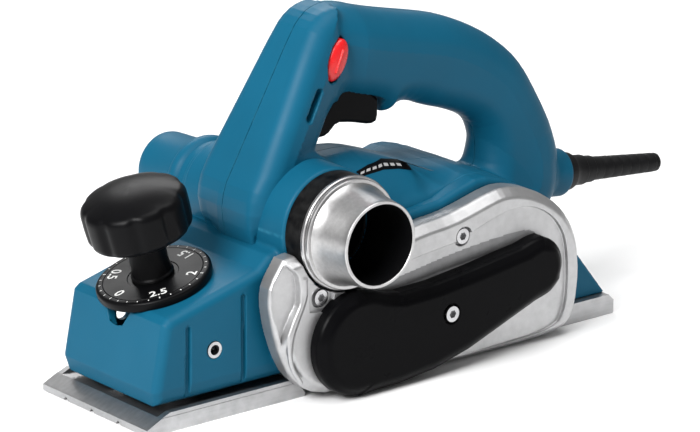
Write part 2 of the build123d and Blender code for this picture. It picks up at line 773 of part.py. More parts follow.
with BuildPart() as duct_collar:
    with BuildSketch(side(-BODY_SIDE)):
        with Locations((DUCT_X, DUCT_Z)):
            Circle(27.4)
            Circle(24.6, mode=Mode.SUBTRACT)
    extrude(amount=-COLLAR_END - BODY_SIDE)
keep(duct_collar, "duct_collar")

duct_axis = Axis((DUCT_X, 0, DUCT_Z), (0, 1, 0))
duct_section = Plane(origin=(DUCT_X, 0, DUCT_Z), x_dir=(0, 1, 0), z_dir=(-1, 0, 0))
with BuildPart() as chip_adapter:
    with BuildSketch(duct_section):
        with BuildLine():
            Polyline(
                (-BODY_SIDE - 0.5, 21.5), (-BODY_SIDE - 0.5, 24.2), (COLLAR_END - 0.3, 24.2),
                (COLLAR_END - 0.3, 27.7), (ADAPTER_FLANGE_END, 27.7), (ADAPTER_FLANGE_END - 1, 26.3),
                (ADAPTER_FLANGE_END - 4, 24.6), (-67, 21.2), (ADAPTER_END + 1.5, 20.5),
                (ADAPTER_END, 20.9), (ADAPTER_END, ADAPTER_BORE_R), (-66, ADAPTER_BORE_R),
                (-58, 21.5), close=True,
            )
        make_face()
    revolve(axis=duct_axis)
keep(chip_adapter, "chip_adapter")

with BuildPart() as far_outlet:
    with BuildSketch(duct_section):
        with BuildLine():
            Polyline(
                (BODY_SIDE, 15.2), (BODY_SIDE, 25.6), (FAR_COLLAR_END - 2, 25.6), (FAR_COLLAR_END, 24),
                (FAR_COLLAR_END + 1, 19.8), (FAR_OUTLET_END - 4, 18.6), (FAR_OUTLET_END, 17),
                (FAR_OUTLET_END, 15.2), close=True,
            )
        make_face()
    revolve(axis=duct_axis)
keep(far_outlet, "far_outlet")

# ---------------------------------------------------------------- cutter drum
CLAMP_SCREW_YS = (-24, 0, 24)
CLAMP_BAR_TOP = 23.75
blade_plane = Plane(
    origin=(DRUM_X, DRUM_HALF_LENGTH, DRUM_Z),
    x_dir=(cos(radians(BLADE_ANGLE)), 0, sin(radians(BLADE_ANGLE))),
    z_dir=(0, -1, 0),
)
BLADE_LENGTH = 2 * DRUM_HALF_LENGTH


def clamp_screw_plane(turn, screw_y, radius):
    """Plane facing out of a clamp bar at this distance from the drum's axis."""
    out = blade_plane.x_dir * turn
    across = blade_plane.y_dir * turn
    centre = Vector(DRUM_X, screw_y, DRUM_Z) + out * radius - across
    return Plane(origin=centre, x_dir=(0, 1, 0), z_dir=out)


with BuildPart() as drum_core:
    with BuildSketch(blade_plane):
        Circle(CORE_RADIUS)
        Circle(DRUM_SHAFT_R, mode=Mode.SUBTRACT)
        for turn in (1, -1):
            with Locations((turn * 20, turn * -0.5)):
                Rectangle(14, 8, mode=Mode.SUBTRACT)
    extrude(amount=BLADE_LENGTH)
    # recesses around both bearing bosses
    for start_y in (DRUM_HALF_LENGTH + 1, -DRUM_HALF_LENGTH + 6):
        with BuildSketch(side(start_y)):
            with Locations((DRUM_X, DRUM_Z)):
                Circle(15)
        extrude(amount=7, mode=Mode.SUBTRACT)
keep(drum_core, "drum_core")

with BuildPart() as planer_blades:
    with BuildSketch(blade_plane):
        for turn in (1, -1):
            with Locations((turn * (CUT_RADIUS - 6), turn * 2.9)):
                Rectangle(12, 1.1)
    extrude(amount=BLADE_LENGTH)
keep(planer_blades, "planer_blades")

with BuildPart() as clamp_bars:
    with BuildSketch(blade_plane):
        for turn in (1, -1):
            with Locations((turn * 19, turn * -1)):
                Rectangle(9.5, 6.4)
    extrude(amount=BLADE_LENGTH)
    for screw_y in CLAMP_SCREW_YS:
        for turn in (1, -1):
            with BuildSketch(clamp_screw_plane(turn, screw_y, CLAMP_BAR_TOP)):
                Circle(2.6)
            extrude(amount=-3, mode=Mode.SUBTRACT)
keep(clamp_bars, "blade_clamp_bars")

with BuildPart() as clamp_screws:
    for screw_y in CLAMP_SCREW_YS:
        for turn in (1, -1):
            with BuildSketch(clamp_screw_plane(turn, screw_y, CLAMP_BAR_TOP - 0.6)):
                Circle(2.4)
                RegularPolygon(1.3, 6, mode=Mode.SUBTRACT)
            extrude(amount=-2.4)
keep(clamp_screws, "blade_clamp_screws")

with BuildPart() as drum_shaft:
    with BuildSketch(side(DRUM_HALF_LENGTH + 0.6)):
        with Locations((DRUM_X, DRUM_Z)):
            Circle(DRUM_SHAFT_R)
    extrude(amount=DRUM_HALF_LENGTH + 0.6 - SHAFT_END_Y)
keep(drum_shaft, "drum_shaft")

with BuildPart() as drum_pulley:
    with BuildSketch(side(CASTING_FLOOR - 0.8)):
        with Locations((DRUM_X, DRUM_Z)):
            Circle(DRUM_PULLEY_R)
            Circle(DRUM_SHAFT_R, mode=Mode.SUBTRACT)
    extrude(amount=PULLEY_WIDTH)
keep(drum_pulley, "drum_pulley")

# ---------------------------------------------------------------- motor
with BuildPart() as motor_shaft:
    with BuildSketch(side(38.5)):
        with Locations((MOTOR_X, MOTOR_Z)):
            Circle(MOTOR_SHAFT_R)
    extrude(amount=38.5 - SHAFT_END_Y)
keep(motor_shaft, "motor_shaft")

with BuildPart() as motor_pulley:
    with BuildSketch(side(CASTING_FLOOR - 0.8)):
        with Locations((MOTOR_X, MOTOR_Z)):
            Circle(MOTOR_PULLEY_R)
            Circle(MOTOR_SHAFT_R, mode=Mode.SUBTRACT)
    extrude(amount=PULLEY_WIDTH)
keep(motor_pulley, "motor_pulley")

with BuildPart() as cooling_fan:
    for far_y, outer, width in ((-34.8, 25, 1.2), (-28, 8, 6.8)):
        with BuildSketch(side(far_y)):
            with Locations((MOTOR_X, MOTOR_Z)):
                Circle(outer)
                Circle(MOTOR_SHAFT_R, mode=Mode.SUBTRACT)
        extrude(amount=width)
    with BuildSketch(side(-28)):
        with Locations((MOTOR_X, MOTOR_Z)):
            with PolarLocations(16, 12):
                Rectangle(17, 1.2)
    extrude(amount=6.8)
keep(cooling_fan, "cooling_fan")

with BuildPart() as armature:
    with BuildSketch(side(17)):
        with Locations((MOTOR_X, MOTOR_Z)):
            Circle(16.5)
            Circle(MOTOR_SHAFT_R, mode=Mode.SUBTRACT)
            with PolarLocations(15.8, 12):
                Rectangle(3, 1.6, mode=Mode.SUBTRACT)
    extrude(amount=39)
keep(armature, "armature")

with BuildPart() as commutator:
    with BuildSketch(side(30)):
        with Locations((MOTOR_X, MOTOR_Z)):
            Circle(9.5)
            Circle(MOTOR_SHAFT_R, mode=Mode.SUBTRACT)
    extrude(amount=11)
keep(commutator, "commutator")

with BuildPart() as stator:
    with BuildSketch(side(17)):
        with Locations((MOTOR_X, MOTOR_Z)):
            Circle(MOTOR_BAY_R)
            Circle(17.4, mode=Mode.SUBTRACT)
    extrude(amount=39)
keep(stator, "stator")

with BuildPart() as brush_holders:
    for turn in (-1, 1):
        with BuildSketch(side(29.5)):
            with Locations((MOTOR_X + turn * 18.5, MOTOR_Z)):
                Rectangle(15, 10)
                Rectangle(15, 7, mode=Mode.SUBTRACT)
        extrude(amount=9)
keep(brush_holders, "brush_holders")

with BuildPart() as carbon_brushes:
    for turn in (-1, 1):
        with BuildSketch(side(28)):
            with Locations((MOTOR_X + turn * 14.5, MOTOR_Z)):
                Rectangle(9, 7)
        extrude(amount=6)
keep(carbon_brushes, "carbon_brushes")

# ---------------------------------------------------------------- depth knob
with BuildPart() as depth_dial:
    with BuildSketch(knob_plane):
        Circle(DIAL_R)
        Circle(STEM_R - 1.5, mode=Mode.SUBTRACT)
    extrude(amount=-DIAL_THICK)
    chamfer(depth_dial.faces().sort_by(Axis(knob_plane.origin, KNOB_AXIS))[-1].edges(), 0.8)
keep(depth_dial, "depth_dial")

with BuildPart() as knob_cap:
    with BuildSketch(Plane(origin=(KNOB_X, 0, KNOB_Z), x_dir=(0, 1, 0), z_dir=KNOB_NORMAL)):
        with BuildLine():
            Polyline(
                (0, 0.2), (STEM_R, 0.2), (STEM_R, 14), (11.5, 18), (22, 20), (25.4, 22.5), (26, 27),
                (25, 36), (22, 41), (16, 43.8), (0, 44.6), close=True,
            )
        make_face()
    revolve(axis=Axis((KNOB_X, 0, KNOB_Z), KNOB_AXIS))
keep(knob_cap, "depth_knob")

with BuildPart() as depth_screw:
    with BuildSketch(knob_plane):
        Circle(STEM_R - 1.7)
    extrude(amount=-DIAL_THICK)
    with BuildSketch(knob_plane.offset(-DIAL_THICK)):
        Circle(SCREW_R)
    extrude(amount=-47)
keep(depth_screw, "depth_screw")

# ---------------------------------------------------------------- cord outlet
with BuildPart() as cord_boot:
    with BuildSketch(Plane(origin=(BOOT_X, 0, BOOT_Z), x_dir=BOOT_AXIS, z_dir=(0, -1, 0))):
        with BuildLine():
            Polyline(
                (0, CORD_R + 0.1), (0, BOOT_ROOT_R), (12, BOOT_ROOT_R), (13.5, 8.4), (28, 6.2),
                (72.5, 4.9), (73.4, 4.4), (73.4, CORD_R + 0.1), close=True,
            )
        make_face()
    revolve(axis=Axis((BOOT_X, 0, BOOT_Z), BOOT_AXIS))
keep(cord_boot, "cord_boot")

with BuildPart() as cord_clamp:
    with BuildSketch(side(9)):
        with Locations((131, 70)):
            Rectangle(9, 3)
    extrude(amount=18)
    with BuildSketch(side(9)):
        with Locations((131, 59)):
            Rectangle(9, 3)
    extrude(amount=18)
keep(cord_clamp, "cord_clamp")
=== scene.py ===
import json
import math

import bmesh
import bpy
import numpy as np
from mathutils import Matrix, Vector


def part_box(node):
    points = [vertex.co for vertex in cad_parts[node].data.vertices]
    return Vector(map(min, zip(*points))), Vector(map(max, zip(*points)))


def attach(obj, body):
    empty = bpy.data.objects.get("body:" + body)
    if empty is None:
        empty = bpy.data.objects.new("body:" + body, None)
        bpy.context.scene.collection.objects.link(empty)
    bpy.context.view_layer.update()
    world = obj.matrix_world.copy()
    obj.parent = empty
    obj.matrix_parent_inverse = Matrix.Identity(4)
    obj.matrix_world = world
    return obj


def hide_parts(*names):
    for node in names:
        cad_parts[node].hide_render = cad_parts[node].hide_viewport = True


# Electric hand planer: the visual mouldings, materials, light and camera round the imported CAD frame.
# Lengths in this script are millimetres in the row's frame; meshes are written in metres.

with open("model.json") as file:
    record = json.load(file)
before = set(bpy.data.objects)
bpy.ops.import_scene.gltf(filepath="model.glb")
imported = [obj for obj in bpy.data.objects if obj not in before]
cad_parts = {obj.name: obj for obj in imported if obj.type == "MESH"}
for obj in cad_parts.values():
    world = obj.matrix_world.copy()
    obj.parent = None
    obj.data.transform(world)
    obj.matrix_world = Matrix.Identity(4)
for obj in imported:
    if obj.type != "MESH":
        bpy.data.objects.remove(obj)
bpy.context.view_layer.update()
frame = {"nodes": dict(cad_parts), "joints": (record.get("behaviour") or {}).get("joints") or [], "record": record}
MM = 0.001

# ---------------------------------------------------------------- places taken from the frame
def middle(node):
    """Centre of a CAD node's box, in millimetres."""
    low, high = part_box(node)
    return (np.array(low) + np.array(high)) / 2 / MM


DRUM = middle("drum_pulley")
MOTOR = middle("motor_pulley")
DUCT = middle("duct_collar")
COVER_SCREW = middle("belt_cover_screw")
JOINTS = {joint["name"]: joint for joint in frame["joints"]}
KNOB_CENTRE = np.array(JOINTS["depth_setting"]["pos_m"]) / MM
KNOB_AXIS = np.array(JOINTS["depth_setting"]["axis"])
PIVOT = np.array(JOINTS["trigger_squeeze"]["pos_m"]) / MM
DRUM_XZ = (DRUM[0], DRUM[2])
MOTOR_XZ = (MOTOR[0], MOTOR[2])
DUCT_XZ = (DUCT[0], DUCT[2])
COVER_SCREW_XZ = (COVER_SCREW[0], COVER_SCREW[2])


# ---------------------------------------------------------------- distance fields
def field_join(a, b, radius):
    """Union of two solids with a fillet of about this radius."""
    share = np.clip(0.5 + 0.5 * (b - a) / radius, 0, 1)
    return b * (1 - share) + a * share - radius * share * (1 - share)


def field_cut(a, b, radius):
    """Solid a with b taken away, its edge softened."""
    return -field_join(-a, b, radius)


def field_cap(a, b, radius):
    """What two solids share, with the edge between them rounded to this radius."""
    u = np.maximum(a + radius, 0)
    v = np.maximum(b + radius, 0)
    return np.minimum(np.maximum(a, b), -radius) + np.sqrt(u * u + v * v)


def field_outline(u, v, points):
    """Signed distance to a closed outline in the plane of u and v."""
    shape = np.broadcast(u, v).shape
    best = np.full(shape, 1e9)
    side = np.ones(shape)
    last = points[-1]
    for point in points:
        eu, ev = last[0] - point[0], last[1] - point[1]
        wu, wv = u - point[0], v - point[1]
        along = np.clip((wu * eu + wv * ev) / (eu * eu + ev * ev), 0, 1)
        best = np.minimum(best, (wu - eu * along) ** 2 + (wv - ev * along) ** 2)
        above = v >= point[1]
        below_last = v < last[1]
        left = eu * wv > ev * wu
        flips = (above & below_last & left) | (~above & ~below_last & ~left)
        side = np.where(flips, -side, side)
        last = point
    return side * np.sqrt(best)


def field_disc(u, v, centre, radius):
    """Signed distance to a circle."""
    return np.hypot(u - centre[0], v - centre[1]) - radius


def segment_distance(x, z, start, end):
    """Distance to the line between two points of the x-z plane."""
    dx, dz = end[0] - start[0], end[1] - start[1]
    along = np.clip(((x - start[0]) * dx + (z - start[1]) * dz) / (dx * dx + dz * dz), 0, 1)
    return np.hypot(x - start[0] - dx * along, z - start[1] - dz * along)


def ramp(value, low, high, at_low, at_high):
    """Value carried linearly from at_low to at_high, held beyond both ends."""
    return at_low + (at_high - at_low) * np.clip((value - low) / (high - low), 0, 1)


def smooth_outline(points, rounds=2, keep=0.25):
    """Corner-cutting of a closed outline, so that it reads as one flowing curve."""
    pts = np.array(points, float)
    for _ in range(rounds):
        ahead = np.roll(pts, -1, axis=0)
        pts = np.stack([pts * (1 - keep) + ahead * keep, pts * keep + ahead * (1 - keep)], 1).reshape(-1, 2)
    return [tuple(p) for p in pts]


CORNERS = np.array([(i, j, k) for i in (0, 1) for j in (0, 1) for k in (0, 1)])
CELL_EDGES = [(a, b) for a in range(8) for b in range(a + 1, 8) if np.abs(CORNERS[a] - CORNERS[b]).sum() == 1]


def mesh_of(solid, low, high, step):
    """Vertices and quads of a field's zero surface, by surface nets, pulled onto the exact surface."""
    axes = [np.arange(a, b + step, step) for a, b in zip(low, high)]
    grid = solid(axes[0][:, None, None], axes[1][None, :, None], axes[2][None, None, :])
    inside = grid < 0
    across_x, across_y, across_z = (size - 1 for size in inside.shape)
    count = sum(inside[i:across_x + i, j:across_y + j, k:across_z + k].astype(np.int8)
                for i, j, k in CORNERS)
    cells = np.argwhere((count > 0) & (count < 8))
    number = np.full(count.shape, -1, np.int64)
    number[tuple(cells.T)] = np.arange(len(cells))
    values = np.stack([grid[tuple((cells + corner).T)] for corner in CORNERS], 1)
    total = np.zeros((len(cells), 3))
    crossings = np.zeros((len(cells), 1))
    for a, b in CELL_EDGES:
        start, end = values[:, a:a + 1], values[:, b:b + 1]
        crossed = (start < 0) != (end < 0)
        share = np.where(crossed, start / np.where(start == end, 1, start - end), 0)
        total += np.where(crossed, CORNERS[a] + share * (CORNERS[b] - CORNERS[a]), 0)
        crossings += crossed
    verts = np.array(low) + (cells + total / crossings) * step
    quads = []
    for axis in range(3):
        one, two = [(1, 2), (2, 0), (0, 1)][axis]
        first = np.take(inside, range(inside.shape[axis] - 1), axis)
        second = np.take(inside, range(1, inside.shape[axis]), axis)
        for flipped in (False, True):
            found = np.argwhere(second & ~first if flipped else first & ~second)
            found = found[(found[:, one] > 0) & (found[:, two] > 0)]
            found = found[(found[:, one] < count.shape[one]) & (found[:, two] < count.shape[two])]
            ring = []
            for back_one, back_two in ((0, 0), (1, 0), (1, 1), (0, 1)):
                cell = found.copy()
                cell[:, one] -= back_one
                cell[:, two] -= back_two
                ring.append(number[tuple(cell.T)])
            quad = np.stack(ring, 1)
            quads.append(quad[:, ::-1] if flipped else quad)
    quads = np.concatenate(quads)
    quads = quads[(quads >= 0).all(1)]
    for _ in range(3):
        verts -= slope(solid, verts) * np.clip(solid(*verts.T), -step, step)[:, None]
    return verts, quads


def slope(solid, points, reach=0.15):
    """Outward unit direction of a field at points."""
    rise = np.zeros_like(points)
    for axis in range(3):
        ahead, behind = points.copy(), points.copy()
        ahead[:, axis] += reach
        behind[:, axis] -= reach
        rise[:, axis] = solid(*ahead.T) - solid(*behind.T)
    return rise / np.maximum(np.linalg.norm(rise, axis=1, keepdims=True), 1e-9)


# ---------------------------------------------------------------- mesh helpers
def add_mesh(name, verts, faces, smooth=True):
    """Object from vertices in millimetres."""
    mesh = bpy.data.meshes.new(name)
    corners = [tuple(v) for v in np.asarray(verts, float) * MM]
    mesh.from_pydata(corners, [], [tuple(int(i) for i in face) for face in faces])
    mesh.update()
    if smooth:
        mesh.polygons.foreach_set("use_smooth", [True] * len(mesh.polygons))
    piece = bpy.data.objects.new(name, mesh)
    bpy.context.collection.objects.link(piece)
    return piece


def place(piece, body, node, material):
    """Rides the piece on its body, lets it stand for CAD nodes if there are any, and gives it a material."""
    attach(piece, body)
    if node:
        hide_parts(*([node] if isinstance(node, str) else node))
    piece.data.materials.clear()
    piece.data.materials.append(material)
    return piece


# ---------------------------------------------------------------- shape of the blue mouldings
BLOCK_SIDE = [(-135.2, 10.8), (-137, 18), (-130.5, 50), (-127.5, 52.5), (-76, 66), (-69.5, 71.6),
              (-63, 73.4), (-48, 64), (-48, 10.8)]
BLOCK_INSIDE = [(-131, 5), (-133, 18), (-126.5, 46.5), (-76, 61), (-66, 61), (-66, 5)]
DRUM_SIDE = [(-62, 13.4), (-68, 22), (-70, 44), (-70, 62), (-62, 66), (-30, 72), (0, 74), (6, 40),
             (0, 11), (-9, 9)]
MOTOR_TOP = [(16.6, 79), (31.3, 80.4), (42.5, 84), (53.9, 87), (61.2, 86.8), (70, 84.4),
             (79.2, 80.3), (88, 75.6), (97, 69.4), (104, 62.4), (109.6, 54), (113, 44),
             (113.8, 30)]
MOTOR_SIDE = [(-26, 70), (-8, 76.5)] + MOTOR_TOP + [(112, 10.4), (-8, 10.4), (-26, 40)]
WEDGE_SIDE = [(96, 10.4), (142.6, 10.4), (118.4, 41), (112, 50), (96, 50)]
HANDLE_OUTSIDE = [(-60, 70), (-68.6, 84), (-67.4, 96), (-62.4, 105.1), (-44, 136.7), (-26.5, 167),
                  (-20.5, 173.4), (-13, 176.5), (-5, 177), (3, 175.4), (12, 172.4), (27, 168.5),
                  (52, 163), (65, 159.4), (78, 153.8), (91, 146.6), (104, 136.8), (111.5, 128.6),
                  (117.5, 119.6), (126, 105), (131, 95), (134.4, 84), (135.3, 76), (133.5, 60),
                  (124, 48), (108, 44), (96, 50), (60, 62), (0, 62), (-36, 56)]
HAND_GAP = [(33.5, 121.2), (42, 120.6), (52.7, 116), (65.5, 112.1), (78.4, 106.4), (84.9, 100.6),
            (87.7, 94), (88.3, 88), (87.6, 79.5), (84, 74), (70, 70), (-2, 70), (-16, 90),
            (-25, 108.6), (-21, 115.4), (-13, 129.2), (-6, 131), (4, 128.8), (18, 125),
            (23.2, 121), (25.2, 117.4), (29.4, 117.6)]
SPINE_TOP = [(-42, 100), (-22, 104.4), (-14, 104.2), (-3.6, 104.3), (5.7, 103.3), (21.3, 97.9),
             (37.6, 91.5), (44.6, 89.6), (59.3, 85.2), (76.8, 78.8), (92, 72), (92, 60), (-42, 60)]
BODY_HALF = 41.6
COLUMN_WRAP_HALF = 20.5
COLUMN_WRAP_RADIUS = 30
DUCT_RADIUS = 28.5
BORE_RADIUS = 20
CHAMBER_RADIUS = 28.4
BOOT_DROP = math.radians(6.1)
BOOT_ROOT = np.array((138.0, 0.0, 65.0))
BOOT_AXIS = np.array((math.cos(BOOT_DROP), 0.0, -math.sin(BOOT_DROP)))


def across_boot(x, y, z):
    """Distance along the cord's axis from the boot's root, and radius from that axis."""
    dx, dz = x - BOOT_ROOT[0], z - BOOT_ROOT[2]
    along = dx * BOOT_AXIS[0] + dz * BOOT_AXIS[2]
    off = dx * -BOOT_AXIS[2] + dz * BOOT_AXIS[0]
    return along, np.hypot(off, y)


def about_knob(x, y, z):
    """Height above the dial's face and radius from the knob's axis."""
    dx, dy, dz = x - KNOB_CENTRE[0], y - KNOB_CENTRE[1], z - KNOB_CENTRE[2]
    height = dx * KNOB_AXIS[0] + dz * KNOB_AXIS[2]
    return height, np.hypot(dx * KNOB_AXIS[2] - dz * KNOB_AXIS[0], dy)


def groove(x, y, z, start, end, depth_plane, width, depth):
    """Rounded slot on the near side, between two points of the x-z plane."""
    flat = segment_distance(x, z, start, end) - width / 2
    return np.maximum(flat, np.abs(y - depth_plane) - depth)


def housing_field(x, y, z):
    """Main housing: front block, drum housing, motor housing, rear wedge and the duct's two rings."""
    wide = np.abs(y)
    block_half = ramp(z, 8, 19, 36.2, 38)
    solid = field_cap(field_outline(x, z, BLOCK_SIDE), wide - block_half, 4.5)
    drum = field_cap(field_outline(x, z, DRUM_SIDE), wide - BODY_HALF, 2)
    solid = field_join(solid, drum, 3)
    motor = field_cap(field_outline(x, z, MOTOR_SIDE), wide - BODY_HALF, 3)
    solid = np.minimum(solid, motor)
    wedge = field_cap(field_outline(x, z, WEDGE_SIDE), wide - 38, 1.2)
    solid = field_join(solid, wedge, 1)
    duct_radius = DUCT_RADIUS - ramp(y, 8, 20, 0, 3.2)
    duct = field_cap(field_disc(x, z, DUCT_XZ, duct_radius), wide - 42, 2)
    solid = field_join(solid, duct, 2.5)
    # pointer notch in the block's front edge, under the dial
    height, radius = about_knob(x, y, z)
    notch = np.maximum(wide - 1.0 - 0.62 * (z - 36), np.maximum(39 - z, radius - 26.5))
    solid = field_cut(solid, notch, 0.8)
    # two guide slots and the guide screw's hole on the near side, mirrored on the far side
    for start, end in (((-118.2, 13), (-117.6, 46)), ((-85.6, 14), (-85.2, 55))):
        solid = field_cut(solid, groove(x, wide, z, start, end, 38, 2.3, 1.8), 0.5)
    solid = field_cut(solid, np.maximum(field_disc(x, z, (-102.5, 32.8), 4.1), 30 - wide), 0.6)
    # hollows
    duct_bore = field_disc(x, z, DUCT_XZ, BORE_RADIUS)
    solid = field_cut(solid, duct_bore, 0.8)
    chamber = np.minimum(field_disc(x, z, DRUM_XZ, CHAMBER_RADIUS),
                         np.maximum(np.abs(x - DRUM[0]) - 23, z - 23))
    solid = np.maximum(solid, -chamber)
    passage = np.maximum(np.maximum(np.abs(x - DUCT[0]) - 13, np.abs(z - 58) - 13), wide - 34)
    solid = np.maximum(solid, -passage)
    bay = np.maximum(field_disc(x, z, MOTOR_XZ, 28), y - 39.2)
    solid = np.maximum(solid, -bay)
    screw = np.maximum(radius - 6, np.maximum(height - 2, -40 - height))
    solid = np.maximum(solid, -screw)
    inside_block = np.maximum(field_outline(x, z, BLOCK_INSIDE), wide - 34.5)
    return np.maximum(solid, -inside_block)


HANDLE_SCREWS = [(0, 165.5, 14), (72, 131, 13), (111, 92, 13), (-40, 118, 20)]


BUTTON_XZ = (-13.5, 153)
BUTTON_RUN = (0.4, 0.917)
BUTTON_HALF_LENGTH, BUTTON_HALF_WIDTH = 10.6, 5.75


def on_button(x, z):
    """Distances along and across the lock button from its centre."""
    dx, dz = x - BUTTON_XZ[0], z - BUTTON_XZ[1]
    return dx * BUTTON_RUN[0] + dz * BUTTON_RUN[1], dx * BUTTON_RUN[1] - dz * BUTTON_RUN[0]


def button_outline(x, z):
    """Signed distance to the lock button's oval outline."""
    along, across = on_button(x, z)
    return (np.hypot(along / BUTTON_HALF_LENGTH, across / BUTTON_HALF_WIDTH) - 1) * BUTTON_HALF_WIDTH


def handle_field(x, y, z):
    """Handle clamshell: column, grip, rear leg, cord boss and the cover over the motor."""
    wide = np.abs(y)
    outside = field_outline(x, z, HANDLE_LOOP)
    gap = field_outline(x, z, GAP_LOOP)
    loop = field_cap(outside, -gap, 5)
    depth = -outside
    # grip and leg: widest line about 18 mm in from the outer edge
    grip_half = 18 - 0.17 * np.maximum(depth - 18, 0) - 0.10 * np.maximum(18 - depth, 0)
    grip_half = grip_half - ramp(x, -22, 6, 4.2, 0) + ramp(z, 60, 92, 1.8, 0)
    grip = field_cap(np.maximum(loop, -19 - x), wide - grip_half, 13.5)
    # column: flat front, soft side edges, wider towards the foot
    behind = (x + 54.7) * 0.845 - (z - 110.6) * 0.534
    column_half = ramp(z, 104, 172, 26, 17.4) - ramp(behind, 9, 27, 0, 7) * ramp(z, 96, 112, 0, 1)
    column = np.maximum(loop, np.maximum(x + 7.5, 78 - z))
    column = field_cap(column, wide - column_half, 9)
    solid = field_join(grip, column, ramp(z, 150, 160, 9, 1.4))
    # moulding that wraps the duct
    wrap_radius = COLUMN_WRAP_RADIUS - ramp(y, 4, 14, 0, 3)
    wrap = field_cap(field_disc(x, z, (DUCT[0] - 1.5, DUCT[2]), wrap_radius), wide - COLUMN_WRAP_HALF, 1.6)
    solid = field_join(solid, wrap, 5)
    # spine over the motor, with flanks that slope to the body, and the motor's hump
    spine = field_outline(x, z, SPINE_LOOP)
    flank = (wide - 15) * 0.735 + (z - ramp(x, -10, 60, 106, 96)) * 0.678
    spine = field_cap(field_cap(spine, flank, 7), wide - 37, 2)
    hump = field_cap(field_outline(x, z, HUMP_LOOP), wide - 33, 1.4)
    solid = field_join(solid, field_join(spine, hump, 5), 4)
    along, radius = across_boot(x, y, z)
    cord_boss = field_cap(radius - 12.3, np.maximum(along - 6.5, -20 - along), 2)
    solid = field_join(solid, cord_boss, 3)
    # recess in the column's side, the trigger's mouth and the button's hole
    recess = groove(x, wide, z, (-26.6, 140), (-33.6, 128.6), 20.5, 3.8, 4.5)
    solid = field_cut(solid, recess, 0.8)
    mouth = np.maximum(np.maximum(np.abs(x - 1.4) - 22.7, np.abs(z - 122) - 18), wide - 8.7)
    solid = field_cut(solid, mouth, 0.8)
    solid = field_cut(solid, np.maximum(button_outline(x, z) - 0.4, np.maximum(8 - wide, y)), 0.4)
    solid = np.maximum(solid, -np.maximum(radius - 9.9, -16 - along))
    # counterbores of the screws put in from the far side, the first one on a low boss
    screw_boss = np.maximum(field_disc(x, z, HANDLE_SCREWS[0][:2], 5.2), np.maximum(y - 16.9, 8 - y))
    solid = field_join(solid, screw_boss, 2)
    for screw_x, screw_z, seat in HANDLE_SCREWS:
        solid = field_cut(solid, np.maximum(field_disc(x, z, (screw_x, screw_z), 3.7), seat - y), 0.3)
    # clear of the duct's bore and the motor bay
    solid = np.maximum(solid, -field_disc(x, z, DUCT_XZ, BORE_RADIUS + 1.5))
    solid = np.maximum(solid, -field_disc(x, z, MOTOR_XZ, 28.5))
    return solid


HANDLE_LOOP = smooth_outline(HANDLE_OUTSIDE, 1)
GAP_LOOP = smooth_outline(HAND_GAP, 1)
SPINE_LOOP = smooth_outline(SPINE_TOP, 1)
HUMP_LOOP = [(30, 62), (24, 76)] + [(x, z + 0.5) for x, z in MOTOR_TOP[:9]] + [(90, 62)]


# ---------------------------------------------------------------- belt housing and its cover
CASTING_EDGE = [(-69, 76), (-79, 62), (-80.3, 53.5), (-78, 39.7), (-73.5, 26), (-67.5, 14.6),
                (-57, 5.4), (-44, 1.6), (60, 1.4), (96, 2), (106, 5), (111, 16), (112.8, 32),
                (111.6, 46), (107.6, 56.4), (102, 64.6), (95, 71), (86.5, 76.4), (77.8, 80.4),
                (68, 83), (60, 83.4), (52, 82), (39.7, 78.8), (27.2, 76), (9.7, 74.6), (-6, 71.5)]
RIM_INSIDE = [(18, 62), (31.5, 63.2), (41.6, 66.7), (54.3, 71), (67.1, 73.4), (78.3, 72.2),
              (88.8, 67), (95.9, 60), (101, 50), (102.5, 32), (101, 14), (94, 6), (60, 4.5),
              (-30, 3.5), (-30, 56)]
POCKET = [(-71.2, 73), (-64.4, 66.2), (-62.8, 58.4), (-63.4, 50.6), (-67.6, 43.4), (-71, 36),
          (-73.4, 27.4), (-80, 50), (-79.4, 61.4)]
RIDGE = [(-62.2, 63), (-61.6, 55), (-66.2, 45.4), (-70, 37.4), (-71.4, 30), (-70, 21),
         (-64.4, 12.4)]
CHANNEL_TOP = [(-34, 47), (-23.9, 50.2), (2.5, 53.6), (24, 57), (46.8, 59.4), (72, 60.8),
               (80, 59.4), (86, 54), (60, 44), (-30, 40)]
COVER_STRAIGHT = [(-33.5, 1.2), (-10, 1.4), (12, 3.8), (34, 9.4), (86, 28.5), (92, 34), (81, 56.4),
                  (60, 53.4), (36, 50), (12, 47.4), (-8, 46.8), (-22, 49.6), (-34, 52.8)]
CASTING_SCREWS = [(-52, 52), (35, 65)]


def cover_outline(x, z):
    """Signed distance to the belt cover's outline, two round ends joined by straight runs."""
    front = field_disc(x, z, DRUM_XZ, 25.6)
    rear = field_disc(x, z, (MOTOR[0] - 0.5, MOTOR[2] + 1), 14.8)
    runs = field_outline(x, z, COVER_STRAIGHT)
    return field_join(field_join(front, runs, 3), rear, 3)


def polyline_distance(x, z, points):
    """Distance to an open polyline in the x-z plane."""
    best = 1e9
    for start, end in zip(points[:-1], points[1:]):
        best = np.minimum(best, segment_distance(x, z, start, end))
    return best


